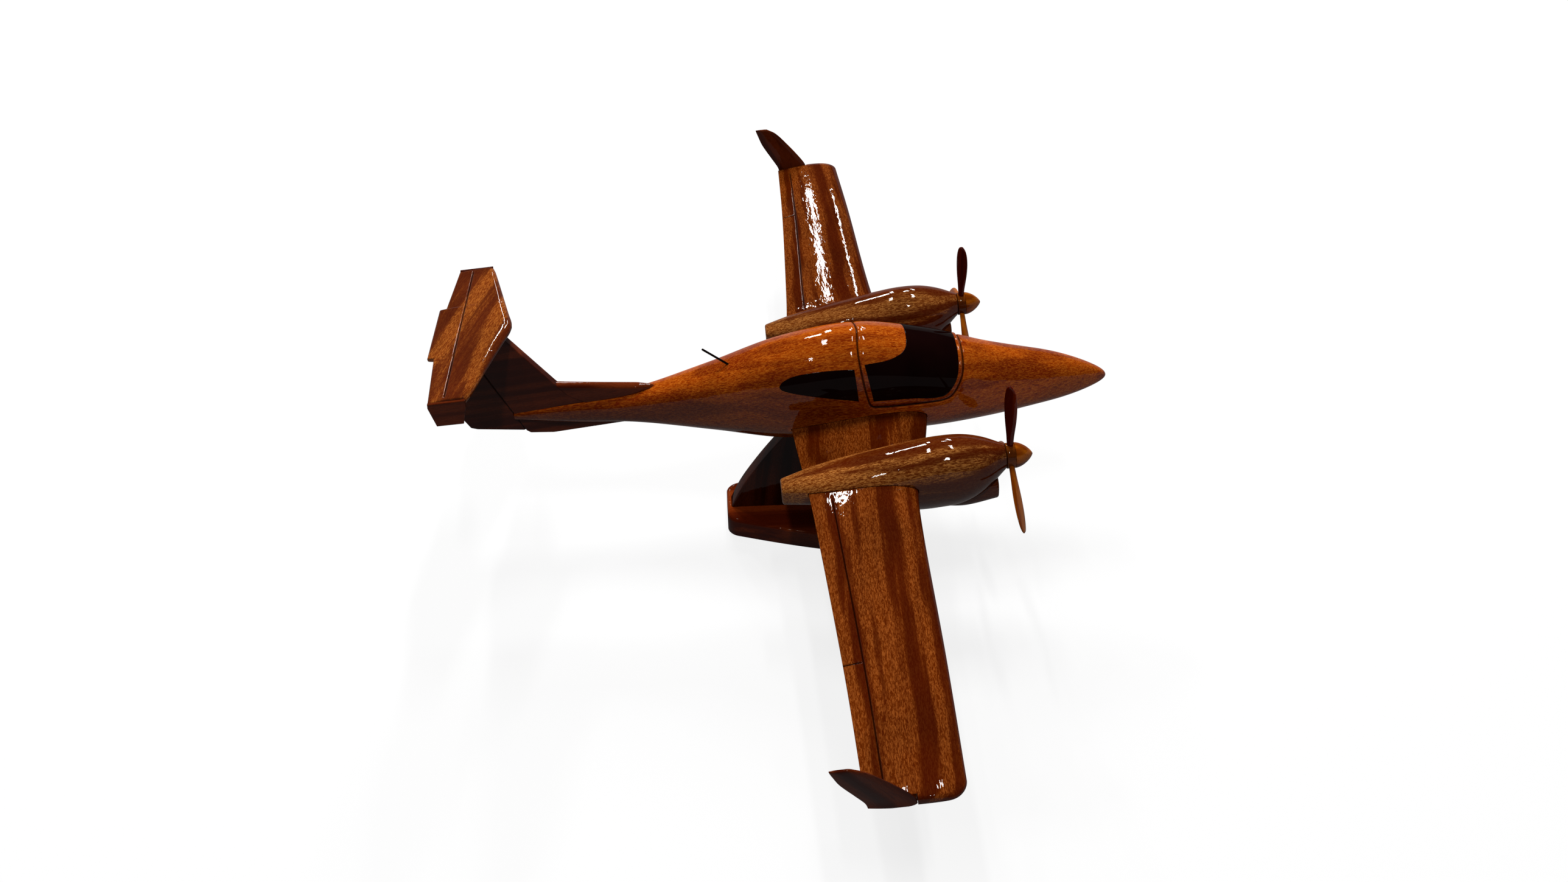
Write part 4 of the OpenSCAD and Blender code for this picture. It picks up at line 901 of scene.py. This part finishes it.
def make_tailplane():
    """Tailplane as chord loops across the span: a board with a round nose, thinning to the rear, with a tab that steps
    out at the middle and a scribed hinge."""
    share = joined(
        np.linspace(0, TAB_SHARE - 0.012, 30), TAB_SHARE + np.linspace(-0.010, 0.010, 9),
        np.linspace(TAB_SHARE + 0.012, 0.985, 40), [0.99, 0.995, 0.998, 1])
    y = joined(-share[:0:-1], share) * TAILPLANE_HALF
    s = (np.abs(y) / TAILPLANE_HALF)[:, None]
    front, thick = curves(TAILPLANE_LINES, s)
    outer = ELEVATOR_TRAILING + ELEVATOR_SWEEP * (s - TAB_SHARE) / (1 - TAB_SHARE)
    step = held((s - TAB_SHARE + TAB_STEP) / (2 * TAB_STEP))
    rear = TAB_TRAILING + (outer - TAB_TRAILING) * step**2 * (3 - 2 * step)
    chord = front - rear
    hinge = (front - ELEVATOR_HINGE) / chord
    t = hinged(eased(50) ** 1.3, hinge, GROOVE_NEAR / chord, 1 - (1 - np.linspace(0, 1, 16)[1:]) ** 1.5)
    round_end = 0.55 + 0.45 * np.sqrt(1 - held((s - 0.985) / 0.015) ** 2)
    nose = np.sqrt(1 - (1 - held(t / TAIL_NOSE)) ** 2)
    half = 0.5 * nose * (1 - 0.55 * held((t - 0.35) / 0.65) ** 1.3) * thick * round_end
    half = half * np.sqrt(1 - held((t - 0.975) / 0.025) ** 2 * 0.7)
    # The hinge line: cut in, and painted with shade along the groove
    groove_and_painted_shade = bell((t - hinge) * chord, GROOVE_SPREAD) * held((ELEVATOR_END - s) * TAILPLANE_HALF)
    x, yy = front - chord * t, np.repeat(y[:, None], t.shape[1], 1)
    upper = beside(x, yy, TAILPLANE_HEIGHT + half - GROOVE_DEPTH * groove_and_painted_shade)
    lower = beside(x, yy, TAILPLANE_HEIGHT - half)[:, :0:-1]
    groove_and_painted_shade = joined(np.zeros(lower.shape[:2]), groove_and_painted_shade, axis=1)
    dress("tailplane", flown_tube(joined(lower, upper, axis=1)), TAIL_WOOD, 33,
          grain=axes_along((sin(TAIL_GRAIN), cos(TAIL_GRAIN), 0)), figure=tail_figure, groove_and_painted_shade=groove_and_painted_shade)


def make_end_plates():
    """Plate on each end of the tailplane: a grid between a front and a rear edge, rounded all round."""
    v = eased(60)
    front, rear = along_line(PLATE_FRONT, v), along_line(PLATE_REAR, v)
    grid = front[:, None] + (rear - front)[:, None] * v[None, :, None] + (0, TAILPLANE_HEIGHT)
    points, faces, _ = board(grid, PLATE_THICKNESS / 2, PLATE_EDGE)
    for word, side in SIDES.items():
        moved = points + (0, side * (TAILPLANE_SPAN - PLATE_THICKNESS) / 2, 0)
        dress(f"{word}_end_plate", (flown(moved), faces), SHADED_UPRIGHT_WOOD, 34 + side)


def make_antenna():
    """Thin whip leaning back from the roof: circles along a straight line, closing along a quarter circle."""
    roof = curves(FUSELAGE_LINES, (ANTENNA_X - TAIL_X) / FUSELAGE_LENGTH)[1] * FUSELAGE_HEIGHT
    end = ANTENNA_LENGTH - ANTENNA_SINK - ANTENNA_RADIUS
    bend = np.radians([20, 40, 60, 75, 86])
    reach, turn = over(joined(np.linspace(-ANTENNA_SINK, end, 20), end + ANTENNA_RADIUS * np.sin(bend)), turns(20))
    radius = ANTENNA_RADIUS * joined(np.ones(20), np.cos(bend))[:, None]
    c, s, out = cos(ANTENNA_LEAN), sin(ANTENNA_LEAN), radius * np.cos(turn)
    rings = beside(ANTENNA_X - s * reach + c * out, ANTENNA_Y + radius * np.sin(turn), roof + c * reach + s * out)
    dress("antenna", flown_tube(rings), BLACK, 36)


# Stand
def base_rings():
    """Wedge-shaped planform whose half width grows as a sine, corners rounded as quarter circles, carried up with a
    small round at the foot and a larger one at the top edge."""
    s = eased(90) * BASE_LENGTH
    rear = np.maximum(1 - s / BASE_REAR_ROUND, 0)
    ahead = np.maximum((s - BASE_LENGTH + BASE_FRONT_ROUND) / BASE_FRONT_ROUND, 0)
    half = BASE_REAR_HALF + (BASE_FRONT_HALF - BASE_REAR_HALF) * np.sin(np.pi / 2 * s / BASE_LENGTH)
    half = half - BASE_REAR_ROUND * (1 - np.sqrt(1 - rear**2)) - BASE_FRONT_ROUND * (1 - np.sqrt(1 - ahead**2))
    foot, top = quarter(6), quarter(10)
    height = joined(BASE_FOOT * (1 - np.cos(foot)), BASE_THICKNESS - BASE_BEVEL * (1 - np.sin(top)))
    inset = joined(BASE_FOOT * (1 - np.sin(foot)), BASE_BEVEL * (1 - np.cos(top)))[:, None]
    x = s * (1 - 2 * inset / BASE_LENGTH) + inset - BASE_LENGTH / 2
    y = half - inset
    z = np.repeat(height[:, None], len(s), 1)
    return joined(beside(x, y, z), beside(x, -y, z)[:, ::-1], axis=1)


def make_stand():
    """Base with its screw recesses, and the upright: a grid between its rear and front edges up to the belly."""
    holes = [upright_drill(x, SCREW_HOLE_RADIUS, -2, SCREW_HOLE_DEPTH) for x in SCREW_PLACES]
    dress("stand_base", tube(base_rings()), BASE_WOOD, 41, "stand", axes_along((1, 0, 0)), holes)
    u, v = over(eased(70), eased(90))
    rear, front = curves(UPRIGHT_LINES, v)
    top = belly_height(UPRIGHT_TOP[0] + (UPRIGHT_TOP[1] - UPRIGHT_TOP[0]) * u) - REST_GAP
    foot = BASE_THICKNESS - UPRIGHT_SEAT
    grid = beside(rear + (front - rear) * u, foot + v * (top - foot))
    dress("stand_upright", board(grid, UPRIGHT_HALF, UPRIGHT_EDGE)[:2], SHADED_STAND_WOOD, 42, "stand",
          axes_along((0.1, 0, 1), (0, 1, 0)))


make_fuselage()
make_windows()
for (word, side), seed in zip(SIDES.items(), (5, 15)):
    make_wing(side, f"{word}_wing", seed)
    make_winglet(side, f"{word}_winglet", seed + 1)
    make_nacelle(side, f"{word}_nacelle", seed + 2)
    make_scoop(side, f"{word}_scoop", seed + 3)
    make_propeller(side, word, seed + 40)
make_fin()
make_dorsal()
make_tailplane()
make_end_plates()
make_antenna()
make_stand()

# Pins, dowels and screws keep their solids
for finish, words, kinds in (
        (STEEL, ("front", "rear"), ("base_screw",)), (STEEL, SIDES, ("shaft", "winglet_pin")),
        (DOWEL_WOOD, ("front", "rear"), ("peg", "wing_dowel", "tail_dowel"))):
    for name in (f"{word}_{kind}" for word in words for kind in kinds):
        finished(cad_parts[name].data, finish)


# Floor, light and camera, in metres
FLOOR_REACH, FLOOR_BEND, WALL_HEIGHT = 6.0, 1.0, 2.2
FLOOR_SPREAD, FLOOR_SEEN, FLOOR_WHITE = (0.16, 0.16, 0.16, 1), (0.9, 0.9, 0.9, 1), 0.82
SKY = 0.09
CEILING = 2.4
# Ceiling panels: two behind and two far behind, two over the cabin and two in front; place, width, depth, watts
CEILING_PANELS = [
    ("behind_left", -0.65, 3.21, 0.26, 0.52, 56),
    ("behind_right", 0.27, 3.21, 0.19, 0.52, 42),
    ("far_left", -0.36, 4.25, 0.13, 1.50, 52),
    ("far_right", 0.61, 4.25, 0.11, 1.50, 46),
    ("over_left", -0.45, 1.01, 0.09, 0.76, 23),
    ("over_right", 0.28, 1.01, 0.09, 0.76, 23),
    ("front_left", -0.70, -0.95, 0.04, 0.30, 4),
    ("front_right", 0.07, -1.05, 0.08, 0.42, 15),
]
# Camera: place, then bearing, height and roll in degrees
CAMERA_PLACE = (-0.0456568, -0.4427571, 0.3893683)
CAMERA_TURNS = (-3.9795, 38.0480, 0.3138)
FOCAL_PIXELS, IMAGE_WIDTH, SENSOR_WIDTH = 2151.1436, 2576, 36


def make_floor():
    """Pale floor that rolls up into a low wall all round: a profile turned about Z, without the tube's far end. It
    is white to the eye and in reflections, and keeps a soft shadow."""
    bend = quarter(13)[1:]
    profile = joined(
        beside(np.linspace(0.001, FLOOR_REACH, 24), np.zeros(24)),
        beside(FLOOR_REACH + FLOOR_BEND * np.sin(bend), FLOOR_BEND * (1 - np.cos(bend))),
        [[FLOOR_REACH + FLOOR_BEND, WALL_HEIGHT]])
    count = 96
    reach, a = over(profile[:, 0], turns(count))
    z = np.repeat(profile[:, 1:], count, 1)
    points, faces = tube(beside(reach * np.cos(a), reach * np.sin(a), z))
    floor = placed("floor", smooth_mesh("floor", points[:-1], [face[::-1] for face in faces[:-count]]))
    r = Recipe("pale_floor")
    finished(floor.data, r.material)
    path = r.add("LightPath")
    seen = r.sums("MAXIMUM", path["Is Camera Ray"], path["Is Glossy Ray"])
    seen = r.sums("MAXIMUM", seen, path["Is Transmission Ray"])
    matt = r.add("BsdfDiffuse", {"Color": r.mixed(seen, FLOOR_SPREAD, FLOOR_SEEN)})[0]
    white = r.add("Emission", {"Color": (1, 1, 1, 1), "Strength": 1.0})[0]
    both = r.add("MixShader", (r.sums("MULTIPLY", seen, FLOOR_WHITE), matt, white))[0]
    r.tree.nodes.remove(r.shader)
    r.give(r.tree.nodes["Material Output"], {"Surface": both})


def make_lights():
    """Dim even light from all round, and rectangular panels in the ceiling, facing straight down."""
    world = bpy.data.worlds.new("studio")
    bpy.context.scene.world = world
    world.use_nodes = True
    back = world.node_tree.nodes["Background"].inputs
    back["Color"].default_value, back["Strength"].default_value = (1, 1, 1, 1), SKY
    for name, x, y, width, depth, watts in CEILING_PANELS:
        lamp = bpy.data.lights.new(f"panel_{name}", "AREA")
        lamp.shape, lamp.size, lamp.size_y, lamp.energy = "RECTANGLE", width, depth, watts
        placed(lamp.name, lamp).location = (x, y, CEILING)


def make_camera():
    """Camera that looks from its place along the photograph's direction."""
    data = bpy.data.cameras.new("camera")
    data.sensor_width = SENSOR_WIDTH
    data.lens = FOCAL_PIXELS * SENSOR_WIDTH / IMAGE_WIDTH
    data.clip_start, data.clip_end = 0.01, 50
    camera = placed("camera", data)
    bearing, height, roll = (radians(x) for x in CAMERA_TURNS)
    camera.matrix_world = (
        Matrix.Translation(CAMERA_PLACE) @ Matrix.Rotation(bearing, 4, "Z")
        @ Matrix.Rotation(radians(90) - height, 4, "X") @ Matrix.Rotation(roll, 4, "Z"))
    bpy.context.scene.camera = camera


make_floor()
make_lights()
make_camera()
bpy.context.scene.view_settings.view_transform = "Standard"
